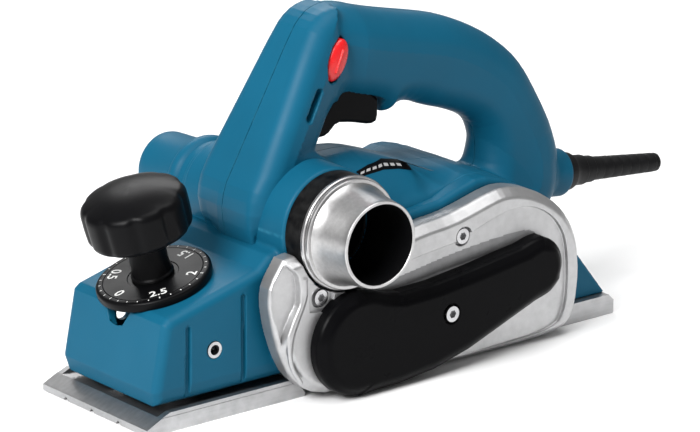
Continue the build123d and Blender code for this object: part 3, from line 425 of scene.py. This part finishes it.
def casting_field(x, y, z):
    """Silver die casting: bevelled rim, recessed face, pocket, S-shaped ridge and belt channel."""
    out = -y
    edge = field_outline(x, z, CASTING_LOOP)
    face = 55.2 + ramp(x, -80, 40, -0.6, 0)
    bevel = (edge + 4.2) * 0.76 + (out - face) * 0.65
    solid = field_cap(np.maximum(edge, 42.2 - out), out - face, 0.7)
    solid = field_cap(solid, bevel, 0.8)
    # recessed face inside the raised rim
    inside = field_outline(x, z, RIM_LOOP)
    solid = field_cut(solid, field_cap(inside, 53.2 - out, 0.6), 0.5)
    # triangular pocket with a hollowed floor
    pocket = field_outline(x, z, POCKET_LOOP) + 1.4
    solid = field_cut(solid, np.maximum(pocket, 49.6 + 0.12 * (x + 72) - out), 1.2)
    ridge = np.hypot(polyline_distance(x, z, RIDGE_LOOP), out - face + 0.6) - 1.15
    solid = field_join(solid, ridge, 1)
    # channel that slopes down to the black cover
    channel = field_outline(x, z, CHANNEL_LOOP)
    slope_down = np.minimum(channel, 0) * 0.3 + 54.6 - out
    solid = field_cut(solid, np.maximum(channel, slope_down), 0.7)
    # square boss and recesses of the two screws
    boss_x, boss_z = x - CASTING_SCREWS[0][0], z - CASTING_SCREWS[0][1]
    moat = np.maximum(np.abs(boss_x), np.abs(boss_z + 0.18 * boss_x)) - 7
    solid = field_cut(solid, np.maximum(moat, 53.4 - out), 0.4)
    for centre, depth in zip(CASTING_SCREWS, (51.6, 50.6)):
        solid = field_cut(solid, np.maximum(field_disc(x, z, centre, 4.9), depth - out), 0.5)
    # clear of the duct's collar and its adapter
    ring = field_disc(x, z, DUCT_XZ, 28.7)
    solid = field_cut(solid, ring, 0.6)
    # belt chamber, with bearing recesses
    solid = np.maximum(solid, -np.maximum(cover_outline(x, z) + 1, 45.5 - out))
    for centre in (DRUM_XZ, MOTOR_XZ):
        solid = np.maximum(solid, -np.maximum(field_disc(x, z, centre, 11.1), 38 - out))
    return solid


CASTING_LOOP = smooth_outline(CASTING_EDGE, 1, 0.2)
RIM_LOOP = smooth_outline(RIM_INSIDE, 2)
# the ridge is an open line: its ends are kept, and the points that would close it into a loop are dropped
RIDGE_LOOP = [RIDGE[0]] + smooth_outline(RIDGE, 2)[2:-6] + [RIDGE[-1]]
POCKET_LOOP = smooth_outline(POCKET, 1, 0.15)
CHANNEL_LOOP = smooth_outline(CHANNEL_TOP, 1)


def cover_field(x, y, z):
    """Black belt cover: flat face, wide bevel, screw recess, hollow behind."""
    out = -y
    edge = cover_outline(x, z)
    solid = field_cap(np.maximum(edge, 51.5 - out), out - 64, 0.9)
    bevel = (edge + 4.6) * 0.66 + (out - 64) * 0.75
    solid = field_cap(solid, bevel, 1.2)
    inner = np.maximum(edge + 3.4, out - 60)
    solid = np.maximum(solid, -inner)
    pillar = np.maximum(field_disc(x, z, COVER_SCREW_XZ, 4.8), np.maximum(55.2 - out, out - 62))
    solid = np.minimum(solid, pillar)
    recess = np.maximum(field_disc(x, z, COVER_SCREW_XZ, 5.1), 61.6 - out)
    return field_cut(solid, recess, 0.5)


# ---------------------------------------------------------------- turned pieces
def turned(name, profile, origin, axis, steps=96, ripple=None):
    """Piece turned from (radius, height) points about an axis; ripple changes the radius round the turn."""
    axis = np.array(axis, float)
    side_one = np.cross(axis, (0, 1, 0)) if abs(axis[1]) < 0.9 else np.array((1.0, 0, 0))
    side_one /= np.linalg.norm(side_one)
    side_two = np.cross(axis, side_one)
    verts, faces = [], []
    turns = np.linspace(0, 2 * math.pi, steps, endpoint=False)
    for radius, height in profile:
        for turn in turns:
            r = radius + (ripple(turn, radius, height) if ripple else 0)
            outward = math.cos(turn) * side_one + math.sin(turn) * side_two
            verts.append(np.array(origin) + axis * height + r * outward)
    for row in range(len(profile) - 1):
        this_ring, next_ring = row * steps, (row + 1) * steps
        for k in range(steps):
            after = (k + 1) % steps
            faces.append((this_ring + k, this_ring + after, next_ring + after, next_ring + k))
    if profile[0][0] > 0.01 and profile[-1] != profile[0]:
        faces.append(tuple(range(steps))[::-1])
        faces.append(tuple((len(profile) - 1) * steps + k for k in range(steps)))
    piece = add_mesh(name, verts, faces)
    tidy(piece)
    return piece


SHARP_ANGLE = math.radians(32)


def tidy(piece):
    """Welds doubled corners, points normals outwards and keeps sharp edges sharp."""
    work = bmesh.new()
    work.from_mesh(piece.data)
    bmesh.ops.remove_doubles(work, verts=work.verts, dist=1e-6)
    bmesh.ops.recalc_face_normals(work, faces=work.faces)
    for edge in work.edges:
        if len(edge.link_faces) == 2:
            edge.smooth = edge.calc_face_angle(0) < SHARP_ANGLE
    for face in work.faces:
        face.smooth = True
    work.to_mesh(piece.data)
    work.free()


def arc_points(centre, radius, start, end, count):
    """Points on an arc, angles in degrees."""
    return [(centre[0] + radius * math.cos(math.radians(start + (end - start) * k / count)),
             centre[1] + radius * math.sin(math.radians(start + (end - start) * k / count)))
            for k in range(count + 1)]


def darken(piece, material, chosen):
    """Gives a second material to the faces picked by their centres and normals, in millimetres; here that material
    is painted shade.
    """
    mesh = piece.data
    mesh.materials.append(material)
    centres = np.zeros(len(mesh.polygons) * 3)
    mesh.polygons.foreach_get("center", centres)
    normals = np.zeros(len(mesh.polygons) * 3)
    mesh.polygons.foreach_get("normal", normals)
    picked = chosen(centres.reshape(-1, 3) / MM, normals.reshape(-1, 3))
    mesh.polygons.foreach_set("material_index", picked.astype(np.int32) * (len(mesh.materials) - 1))
    mesh.update()


def in_duct(centres, radius):
    """Which face centres lie within this radius of the duct's axis."""
    return np.hypot(centres[:, 0] - DUCT[0], centres[:, 2] - DUCT[2]) < radius


def carve(name, solid, low, high, step):
    """Object made from a distance field, shaded with the field's own slope."""
    verts, quads = mesh_of(solid, low, high, step)
    piece = add_mesh(name, verts, quads)
    piece.data.normals_split_custom_set_from_vertices([tuple(n) for n in slope(solid, verts)])
    return piece


def halves(names, solid, low, high, step, gap):
    """Near and far half of a field, parted at y = 0 by twice the gap, closed along the parting face."""
    verts, quads = mesh_of(solid, low, high, step)
    pieces = []
    for name, side in zip(names, (-1, 1)):
        whole = add_mesh(name, verts, quads)
        work = bmesh.new()
        work.from_mesh(whole.data)
        bmesh.ops.bisect_plane(work, geom=work.verts[:] + work.edges[:] + work.faces[:], plane_co=(0, 0, 0),
                               plane_no=(0, 1, 0), clear_outer=side < 0, clear_inner=side > 0)
        rim = [edge for edge in work.edges if edge.is_boundary]
        for vert in {vert for edge in rim for vert in edge.verts}:
            vert.co.y = side * gap * MM
        closed = bmesh.ops.triangle_fill(work, edges=rim, use_beauty=True, normal=(0, -side, 0))
        for face in closed["geom"]:
            if isinstance(face, bmesh.types.BMFace):
                face.smooth = False
        work.to_mesh(whole.data)
        work.free()
        mesh = whole.data
        points = np.array([vert.co for vert in mesh.vertices]) / MM
        outward = slope(solid, points)
        normals = np.zeros((len(mesh.loops), 3))
        for polygon in mesh.polygons:
            for loop in polygon.loop_indices:
                rounded = outward[mesh.loops[loop].vertex_index]
                normals[loop] = rounded if polygon.use_smooth else polygon.normal
        mesh.polygons.foreach_set("use_smooth", [True] * len(mesh.polygons))
        mesh.normals_split_custom_set([tuple(n) for n in normals])
        pieces.append(whole)
    return pieces


# ---------------------------------------------------------------- materials
class Nodes:
    """Small helper round a node material."""

    def __init__(self, name, color, roughness, metallic=0.0, specular=0.5):
        self.material = bpy.data.materials.new(name)
        self.material.use_nodes = True
        self.tree = self.material.node_tree
        self.shader = self.tree.nodes["Principled BSDF"]
        self.shader.inputs["Base Color"].default_value = (*color, 1)
        self.shader.inputs["Roughness"].default_value = roughness
        self.shader.inputs["Metallic"].default_value = metallic
        self.shader.inputs["Specular IOR Level"].default_value = specular
        self.place = self.tree.nodes.new("ShaderNodeTexCoord").outputs["Object"]

    def node(self, kind, **settings):
        made = self.tree.nodes.new(kind)
        for key, value in settings.items():
            setattr(made, key, value)
        return made

    def link(self, a, b):
        self.tree.links.new(a, b)

    def stretched(self, scale):
        mapping = self.node("ShaderNodeMapping")
        mapping.inputs["Scale"].default_value = scale
        self.link(self.place, mapping.inputs["Vector"])
        return mapping.outputs["Vector"]

    def noise(self, scale, detail=3.0, roughness=0.55, vector=None):
        made = self.node("ShaderNodeTexNoise")
        made.inputs["Scale"].default_value = scale
        made.inputs["Detail"].default_value = detail
        made.inputs["Roughness"].default_value = roughness
        self.link(vector or self.place, made.inputs["Vector"])
        return made.outputs["Fac"]

    def spread(self, value, low_in, high_in, low_out, high_out):
        made = self.node("ShaderNodeMapRange")
        limits = {"From Min": low_in, "From Max": high_in, "To Min": low_out, "To Max": high_out}
        for key, number in limits.items():
            made.inputs[key].default_value = number
        self.link(value, made.inputs["Value"])
        return made.outputs["Result"]

    def blend(self, share, first, second):
        made = self.node("ShaderNodeMix", data_type="RGBA")
        self.link(share, made.inputs["Factor"])
        for key, color in (("A", first), ("B", second)):
            socket = [s for s in made.inputs if s.name == key and s.type == "RGBA"][0]
            if isinstance(color, tuple):
                socket.default_value = (*color, 1)
            else:
                self.link(color, socket)
        return [s for s in made.outputs if s.type == "RGBA"][0]

    def edges(self):
        """One on convex edges, zero elsewhere, broken up by noise; it places the painted edge highlight."""
        geometry = self.node("ShaderNodeNewGeometry")
        # convex edges, where a highlight is painted into the colour
        edge_highlight = self.spread(geometry.outputs["Pointiness"], 0.53, 0.62, 0, 1)
        broken = self.spread(self.noise(160, 4), 0.35, 0.7, 0, 1)
        made = self.node("ShaderNodeMath", operation="MULTIPLY")
        self.link(edge_highlight, made.inputs[0])
        self.link(broken, made.inputs[1])
        return made.outputs[0]

    def bump(self, height, strength, distance):
        made = self.node("ShaderNodeBump")
        made.inputs["Strength"].default_value = strength
        made.inputs["Distance"].default_value = distance
        self.link(height, made.inputs["Height"])
        self.link(made.outputs["Normal"], self.shader.inputs["Normal"])


def moulded(name, color, edge_color, roughness, grain=900, depth=0.00004, specular=0.3):
    """Spark-eroded moulded plastic: fine grain, mottled gloss, convex edges made slightly paler by a painted
    highlight.
    """
    made = Nodes(name, color, roughness, 0, specular)
    tone = made.spread(made.noise(22, 3), 0.3, 0.7, 0, 1)
    darker = tuple(c * 0.9 for c in color)
    base = made.blend(tone, darker, color)
    # painted highlight: convex edges take the paler edge colour
    made.link(made.blend(made.edges(), base, edge_color), made.shader.inputs["Base Color"])
    made.link(made.spread(made.noise(60, 4), 0.25, 0.75, roughness - 0.05, roughness + 0.06),
              made.shader.inputs["Roughness"])
    made.bump(made.noise(grain, 2), 0.5, depth)
    return made.material


def metal(name, color, roughness, grain_scale, stretch=(1, 1, 1), depth=0.00003, dark=0.82, metallic=1.0):
    """Metal with a directional or cast grain, uneven gloss and a painted highlight that brightens convex edges."""
    made = Nodes(name, color, roughness, metallic)
    vector = made.stretched(stretch)
    grain = made.noise(grain_scale, 4, 0.6, vector)
    darker = tuple(c * dark for c in color)
    base = made.blend(made.spread(grain, 0.3, 0.7, 0, 1), darker, color)
    # painted highlight: convex edges take a brighter colour
    bright = tuple(min(1, c * 1.12) for c in color)
    made.link(made.blend(made.edges(), base, bright), made.shader.inputs["Base Color"])
    made.link(made.spread(made.noise(45, 4), 0.25, 0.75, roughness - 0.06, roughness + 0.08),
              made.shader.inputs["Roughness"])
    made.bump(grain, 0.45, depth)
    return made.material


blue = moulded("blue_nylon", (0.004, 0.092, 0.165), (0.03, 0.18, 0.27), 0.44, specular=0.13)
black = moulded("black_plastic", (0.003, 0.003, 0.0035), (0.015, 0.015, 0.015), 0.34, specular=0.06)
cover_black = moulded("cover_black", (0.0025, 0.0025, 0.003), (0.012, 0.012, 0.012), 0.30, specular=0.05)
knob_black = moulded("knob_black", (0.003, 0.003, 0.0035), (0.015, 0.015, 0.015), 0.34, 700, specular=0.08)
rubber = moulded("boot_rubber", (0.004, 0.004, 0.0045), (0.02, 0.02, 0.02), 0.5, 500, specular=0.2)
inner_black = moulded("inner_plastic", (0.03, 0.03, 0.032), (0.08, 0.08, 0.08), 0.5)
red = moulded("red_plastic", (0.66, 0.010, 0.012), (0.8, 0.12, 0.1), 0.24, 400, 0.00001, 0.5)
fan_white = moulded("fan_plastic", (0.72, 0.72, 0.70), (0.8, 0.8, 0.78), 0.5)
carbon = moulded("carbon", (0.03, 0.03, 0.03), (0.06, 0.06, 0.06), 0.55)
print_white = moulded("print_white", (0.82, 0.82, 0.80), (0.9, 0.9, 0.9), 0.5)
label_grey = moulded("label_grey", (0.42, 0.42, 0.42), (0.5, 0.5, 0.5), 0.45)
casting_silver = metal("casting_silver", (0.54, 0.54, 0.545), 0.42, 220,
                       depth=0.00005, dark=0.88, metallic=0.9)
# painted shade: darker cast metal for the sunken channel beside the black cover
channel_painted_shade = metal("channel_painted_shade", (0.30, 0.30, 0.305), 0.5, 180, depth=0.00006, dark=0.8, metallic=0.6)
# near-black painted shade for the hollow of the chip duct
duct_painted_shade = moulded("duct_painted_shade", (0.0025, 0.0025, 0.003), (0.01, 0.01, 0.01), 0.5, specular=0.12)
sole_metal = metal("sole_aluminium", (0.46, 0.46, 0.465), 0.38, 380, (0.04, 1, 1))
satin = metal("satin_aluminium", (0.56, 0.555, 0.555), 0.36, 500, depth=0.00002)
steel = metal("steel", (0.52, 0.52, 0.53), 0.24, 300)
dark_steel = metal("bearing_steel", (0.50, 0.50, 0.52), 0.28, 300)
drum_metal = metal("drum_alloy", (0.52, 0.52, 0.53), 0.33, 350, (1, 0.05, 1))
carbide = metal("carbide", (0.42, 0.42, 0.44), 0.2, 500)
iron = metal("laminations", (0.28, 0.28, 0.29), 0.5, 260, (1, 8, 1))
copper = metal("copper", (0.75, 0.38, 0.22), 0.3, 300)
NODE_MATERIALS = {
    "blue_nylon": blue, "sole_aluminium": sole_metal, "cast_aluminium": casting_silver,
    "satin_aluminium": satin, "black_plastic": black, "inner_plastic": inner_black,
    "red_plastic": red, "black_rubber": rubber, "steel": steel, "bearing_steel": dark_steel,
    "drum_alloy": drum_metal, "carbide": carbide, "laminations": iron, "copper": copper,
    "fan_plastic": fan_white, "carbon": carbon,
}
slots = {entry["node"]: entry["material_slot"] for entry in frame["record"]["subparts"]}
for node_name, node in frame["nodes"].items():
    node.data.materials.clear()
    node.data.materials.append(NODE_MATERIALS[slots[node_name]])

# ---------------------------------------------------------------- blue mouldings
BODY_STEP = 1.0
DETAIL_STEP = 0.5
BUTTON_STEP = 0.35
housing = carve("main_housing_skin", housing_field, (-140, -44, 6), (146, 44, 112), BODY_STEP)
place(housing, "housing", ["main_housing", "chip_duct"], blue)
near_shell, far_shell = halves(("handle_near_skin", "handle_far_skin"), handle_field,
                               (-72, -40, 40), (150, 40, 180), BODY_STEP, 0.24)
for shell, node_name in ((near_shell, "handle_near_shell"), (far_shell, "handle_far_shell")):
    place(shell, "housing", node_name, blue)
    # painted shade: near-black faces round the duct's bore
    darken(shell, duct_painted_shade, lambda c, n: in_duct(c, 22))

# ---------------------------------------------------------------- casting and cover
casting = carve("belt_housing_skin", casting_field, (-84, -57.5, 0), (116, -41, 86), DETAIL_STEP)
place(casting, "housing", "belt_housing", casting_silver)
# paints shade on the sunken channel's faces beside the black cover
darken(casting, channel_painted_shade, lambda c, n: (field_outline(c[:, 0], c[:, 2], CHANNEL_LOOP) < -0.2)
       & (c[:, 1] > -54.7) & (c[:, 1] < -43))
cover = carve("belt_cover_skin", cover_field, (-63, -66, -1), (98, -50, 60), DETAIL_STEP)
place(cover, "housing", "belt_cover", cover_black)

# ---------------------------------------------------------------- trigger and lock button
TRIGGER_SIDE = [(-22.5, 114.5), (-18.5, 112.6), (-11, 113), (-5, 118.4), (4, 117), (16, 113.8),
                (20.3, 115.2), (20.3, 129), (-4, 139), (-14, 139), (-16, 134)]
TRIGGER_LOOP = smooth_outline(TRIGGER_SIDE, 1, 0.2)


def trigger_field(x, y, z):
    """Trigger with a rounded finger face, bored for its pin."""
    solid = field_cap(field_outline(x, z, TRIGGER_LOOP), np.abs(y) - 8, 2.2)
    return np.maximum(solid, 1.6 - np.hypot(x - PIVOT[0], z - PIVOT[2]))


trigger = carve("trigger_skin", trigger_field, (-25, -9, 110), (23, 9, 142), DETAIL_STEP)
place(trigger, "trigger", "trigger", black)


def button_field(x, y, z):
    """Domed oval button with a raised rib along its length."""
    edge = button_outline(x, z)
    dome = -y - 20.2 + 0.045 * np.maximum(edge + 5.6, 0) ** 2
    solid = field_cap(np.maximum(edge, y + 13.1), dome, 1.5)
    along, across = on_button(x, z)
    rib = np.hypot(np.maximum(np.abs(along) - 5.4, 0), across) - 0.55
    return field_join(solid, np.maximum(rib, np.maximum(-y - 20.7, y + 18)), 0.5)


button = carve("lock_button_skin", button_field, (-26, -21.5, 141), (-1, -12, 165), BUTTON_STEP)
place(button, "lock_button", "lock_button", red)

PIN_PROFILE = [(0.01, -10.4), (1.2, -10.4), (1.5, -10.1), (1.5, 10.1), (1.2, 10.4), (0.01, 10.4)]
pin = turned("trigger_pin_skin", PIN_PROFILE, (PIVOT[0], 0, PIVOT[2]), (0, 1, 0), 32)
place(pin, "housing", "trigger_pin", steel)

# ---------------------------------------------------------------- depth knob and its dial
FLUTES = 10
DIAL_NUMBERS = 6
DIAL_TICKS = 30


def knob_ripple(turn, radius, height):
    """Soft finger flutes round the knob's skirt."""
    reach = max(0.0, 1 - ((height - 32) / 11) ** 4) * min(1, max(0, (radius - 18) / 5))
    offset = (turn * FLUTES / (2 * math.pi)) % 1 - 0.5
    return -1.3 * reach * math.exp(-(offset / 0.16) ** 2)


KNOB_PROFILE = [(0.01, 0.25), (10.4, 0.25), (10.4, 1.2), (9.7, 2.0), (9.3, 5), (9.3, 14),
                (9.8, 17)]
KNOB_PROFILE += arc_points((13.2, 17.2), 3.4, 180, 90, 5)
KNOB_PROFILE += [(18, 20.9), (21, 21.4)]
KNOB_PROFILE += arc_points((20.9, 25.8), 4.3, -80, 0, 9)
KNOB_PROFILE += [(25.4, 29), (25.5, 32), (25.5, 36)]
KNOB_PROFILE += arc_points((20.6, 37.6), 4.9, 0, 68, 9)
KNOB_PROFILE += [(19, 43.5), (14.5, 45.0), (9.5, 46.1), (5, 46.6), (0.01, 46.8)]
knob = turned("depth_knob_skin", KNOB_PROFILE, KNOB_CENTRE, KNOB_AXIS, 160, knob_ripple)
place(knob, "depth_knob", "depth_knob", knob_black)

DIAL_PROFILE = [(14, -4.9), (27.2, -4.9), (27.8, -4.4), (28, -3.8), (28, -1.5), (27.9, -1.0),
                (27.5, -0.45), (27.0, -0.15), (26.2, 0), (24.6, 0), (24.3, -0.25), (24.0, 0),
                (12.6, 0), (12.2, -0.35), (9.2, -0.35), (9.2, -4.9), (14, -4.9)]
dial = turned("depth_dial_skin", DIAL_PROFILE, KNOB_CENTRE, KNOB_AXIS, 120)
place(dial, "depth_knob", "depth_dial", knob_black)

DIAL_RIGHT = np.array((0.0, 1.0, 0.0))
DIAL_AHEAD = np.cross(KNOB_AXIS, DIAL_RIGHT)


def dial_print():
    """Generic numbers and divisions printed on the dial's face, one number per half millimetre of cut."""
    verts, faces = [], []

    def put(points, polygons, turn, out):
        # points are (across, towards the knob) round a spot at this turn and radius
        inward = -(math.cos(turn) * DIAL_AHEAD + math.sin(turn) * DIAL_RIGHT)
        across = np.cross(inward, KNOB_AXIS)
        base = len(verts)
        for u, v in points:
            verts.append(KNOB_CENTRE - inward * out + across * u + inward * v + KNOB_AXIS * 0.07)
        faces.extend([tuple(base + i for i in polygon) for polygon in polygons])

    for number in range(DIAL_NUMBERS):
        text = bpy.data.curves.new("digits", "FONT")
        text.body = f"{number / 2:g}"
        text.size = 7.2
        text.align_x = "CENTER"
        text.offset = 0.12
        holder = bpy.data.objects.new("digits", text)
        bpy.context.collection.objects.link(holder)
        flat = holder.evaluated_get(bpy.context.evaluated_depsgraph_get()).to_mesh()
        points = [(v.co.x, v.co.y) for v in flat.vertices]
        polygons = [tuple(p.vertices) for p in flat.polygons]
        put(points, polygons, number * math.pi / (DIAL_NUMBERS / 2), 22.6)
        bpy.data.objects.remove(holder)
        bpy.data.curves.remove(text)
    for tick in range(DIAL_TICKS):
        long = 1.5 if tick % (DIAL_TICKS // DIAL_NUMBERS) == 0 else 1.0
        bar = [(-0.22, 0), (0.22, 0), (0.22, long), (-0.22, long)]
        put(bar, [(0, 1, 2, 3)], tick * math.pi / (DIAL_TICKS / 2), 26.2)
    return add_mesh("depth_dial_print", verts, faces, False)


marks = dial_print()
place(marks, "depth_knob", None, print_white)

# ---------------------------------------------------------------- chip outlet adapter and cord boot
ADAPTER_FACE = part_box("chip_adapter")[0][1] / MM
ADAPTER_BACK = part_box("chip_adapter")[1][1] / MM
COLLAR_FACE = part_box("duct_collar")[0][1] / MM
ADAPTER_PROFILE = [(21.5, ADAPTER_BACK), (24.2, ADAPTER_BACK), (24.2, COLLAR_FACE - 0.3),
                   (27.2, COLLAR_FACE - 0.3), (27.7, COLLAR_FACE - 0.8), (27.7, COLLAR_FACE - 2.2),
                   (27.3, COLLAR_FACE - 2.7), (26.4, COLLAR_FACE - 2.8), (26.3, COLLAR_FACE - 3.2),
                   (26.8, COLLAR_FACE - 3.4), (26.8, COLLAR_FACE - 4.8), (26.4, COLLAR_FACE - 5.2),
                   (25.0, COLLAR_FACE - 5.3), (24.7, COLLAR_FACE - 5.7), (22.9, -64),
                   (21.5, ADAPTER_FACE + 4), (21.05, ADAPTER_FACE + 1.8),
                   (21.05, ADAPTER_FACE + 0.4), (20.7, ADAPTER_FACE), (19.6, ADAPTER_FACE),
                   (19.4, ADAPTER_FACE + 0.3), (19.35, -66), (21.4, -58), (21.5, ADAPTER_BACK)]
adapter = turned("chip_adapter_skin", [(r, -h) for r, h in ADAPTER_PROFILE], (DUCT[0], 0, DUCT[2]),
                 (0, -1, 0), 144)
place(adapter, "chip_adapter", "chip_adapter", satin)
# painted shade: near black inside the adapter and the housing's bore
darken(adapter, duct_painted_shade, lambda c, n: in_duct(c, 21.45) & (c[:, 1] > ADAPTER_FACE + 0.5)
       & ((c[:, 0] - DUCT[0]) * n[:, 0] + (c[:, 2] - DUCT[2]) * n[:, 2] < 0))
darken(housing, duct_painted_shade, lambda c, n: in_duct(c, 21.2))

OUTLET_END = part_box("far_outlet")[1][1] / MM
OUTLET_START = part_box("far_outlet")[0][1] / MM
OUTLET_PROFILE = [(15.3, OUTLET_START), (22.4, OUTLET_START), (22.4, OUTLET_START + 3)]
OUTLET_PROFILE += [(22.2, OUTLET_START + 4.2), (21.2, OUTLET_START + 5.4), (20.4, OUTLET_START + 6)]
OUTLET_PROFILE += arc_points((17.2, OUTLET_START + 14), 5.4, -50, 62, 10)
OUTLET_PROFILE += [(18.4, OUTLET_START + 21.5), (17.8, OUTLET_END - 6), (17.6, OUTLET_END - 2),
                   (17.2, OUTLET_END - 0.6), (16.6, OUTLET_END), (15.8, OUTLET_END),
                   (15.3, OUTLET_END - 0.6), (15.3, OUTLET_START)]
outlet = turned("far_outlet_skin", OUTLET_PROFILE, (DUCT[0], 0, DUCT[2]), (0, 1, 0), 120)
place(outlet, "housing", "far_outlet", blue)

BOOT_PROFILE = [(3.6, 0), (9.6, 0), (9.6, 6), (9.7, 11.4), (9.3, 12.2), (8.6, 13.2), (8.3, 14.6)]
for ring in range(9):
    start = 16 + ring * 6.2
    root = 8.1 - 2.0 * min(1, (start - 14) / 14) - 1.25 * max(0, (start - 28) / 44)
    BOOT_PROFILE += [(root, start), (root - 0.05, start + 4.4), (root - 0.38, start + 4.9),
                     (root - 0.38, start + 5.7)]
BOOT_PROFILE += [(4.85, 72.0), (4.7, 72.9), (4.3, 73.4), (3.6, 73.4), (3.6, 0)]
boot = turned("cord_boot_skin", BOOT_PROFILE, BOOT_ROOT, BOOT_AXIS, 96)
place(boot, "housing", "cord_boot", rubber)

# ---------------------------------------------------------------- label strip on the cover's near flank
STRIP_TOP = [(-5, 97.6), (4, 98.6), (16, 98.4), (24, 96.4), (32, 94)]
STRIP_FOOT = [(-9, 94.6), (0, 95.2), (12, 95.2), (22, 93.6), (30, 91.4)]
STRIP_ROWS = 6
FLANK_SAMPLES = 321
DASHES = 7
DASH_PITCH, DASH_LENGTH = 0.115, 0.075


def along_line(points, share):
    """Point at this share of the way along a polyline, by x."""
    xs = [p[0] for p in points]
    at = xs[0] + (xs[-1] - xs[0]) * share
    return at, float(np.interp(at, xs, [p[1] for p in points]))


def on_flank(x, z, lift):
    """Point of the handle's near surface at this x and z, lifted off it."""
    depths = np.linspace(-36, -4, FLANK_SAMPLES)
    values = handle_field(np.full(FLANK_SAMPLES, x), depths, np.full(FLANK_SAMPLES, z))
    hit = int(np.argmax(values < 0))
    point = np.array([[x, depths[hit], z]])
    return (point + slope(handle_field, point) * lift)[0]


def strip(name, start, end, low, high, lift, columns):
    """Thin skin on the flank between two shares of the strip's length and height."""
    verts, faces = [], []
    for i in range(columns + 1):
        share = start + (end - start) * i / columns
        top, foot = along_line(STRIP_TOP, share), along_line(STRIP_FOOT, share)
        for part in np.linspace(low, high, STRIP_ROWS + 1):
            at_x = foot[0] + (top[0] - foot[0]) * part
            at_z = foot[1] + (top[1] - foot[1]) * part
            verts.append(on_flank(at_x, at_z, lift))
    for i in range(columns):
        for j in range(STRIP_ROWS):
            a = i * (STRIP_ROWS + 1) + j
            b = a + STRIP_ROWS + 1
            faces.append((a, b, b + 1, a + 1))
    return add_mesh(name, verts, faces)


label = strip("label_strip", 0, 1, 0, 1, 0.12, 40)
place(label, "housing", "vent_grille", black)
for k in range(DASHES):
    dash_start = 0.1 + DASH_PITCH * k
    dash = strip(f"label_dash_{k + 1}", dash_start, dash_start + DASH_LENGTH, 0.34, 0.62, 0.2, 4)
    place(dash, "housing", None, label_grey)

# ---------------------------------------------------------------- floor, light and camera
FLOOR_HALF = 4
floor_mesh = bpy.data.meshes.new("floor")
floor_mesh.from_pydata([(x * FLOOR_HALF, y * FLOOR_HALF, 0) for x, y in ((-1, -1), (1, -1), (1, 1), (-1, 1))],
                       [], [(0, 1, 2, 3)])
floor = bpy.data.objects.new("floor", floor_mesh)
bpy.context.collection.objects.link(floor)
floor_look = Nodes("floor", (0.93, 0.93, 0.93), 0.75)
floor_look.bump(floor_look.noise(40, 2), 0.05, 0.0002)
floor_mesh.materials.append(floor_look.material)

scene = bpy.context.scene
scene.view_settings.view_transform = "Standard"
world = bpy.data.worlds.new("studio")
world.use_nodes = True
world.node_tree.nodes["Background"].inputs["Color"].default_value = (1, 1, 1, 1)
world.node_tree.nodes["Background"].inputs["Strength"].default_value = 0.27
scene.world = world


def lamp(name, place_at, aim_at, size, power):
    """Soft box aimed at a point, in metres."""
    data = bpy.data.lights.new(name, "AREA")
    data.shape = "RECTANGLE"
    data.size, data.size_y = size
    data.energy = power
    made = bpy.data.objects.new(name, data)
    made.location = place_at
    made.rotation_euler = (Vector(aim_at) - Vector(place_at)).to_track_quat("-Z", "Y").to_euler()
    bpy.context.collection.objects.link(made)


lamp("key_light", (-1.15, -0.35, 0.95), (-0.02, 0, 0.07), (0.7, 0.6), 27)
lamp("top_light", (0.1, -0.3, 1.5), (0, 0, 0.05), (1.2, 1.0), 14)
lamp("back_light", (0.5, 0.9, 0.9), (0, 0, 0.08), (0.8, 0.5), 7)

TARGET = np.array((0.00878, 0.0, 0.06727))
AZIMUTH, ELEVATION, DISTANCE = math.radians(-38.84), math.radians(17.24), 2.0
toward = np.array((math.sin(AZIMUTH) * math.cos(ELEVATION), -math.cos(AZIMUTH) * math.cos(ELEVATION),
                   math.sin(ELEVATION)))
camera_data = bpy.data.cameras.new("camera")
camera_data.lens = 211.65
camera_data.sensor_width = 36
camera = bpy.data.objects.new("camera", camera_data)
camera.location = TARGET + toward * DISTANCE
camera.rotation_euler = Vector(toward).to_track_quat("Z", "Y").to_euler()
bpy.context.collection.objects.link(camera)
scene.camera = camera
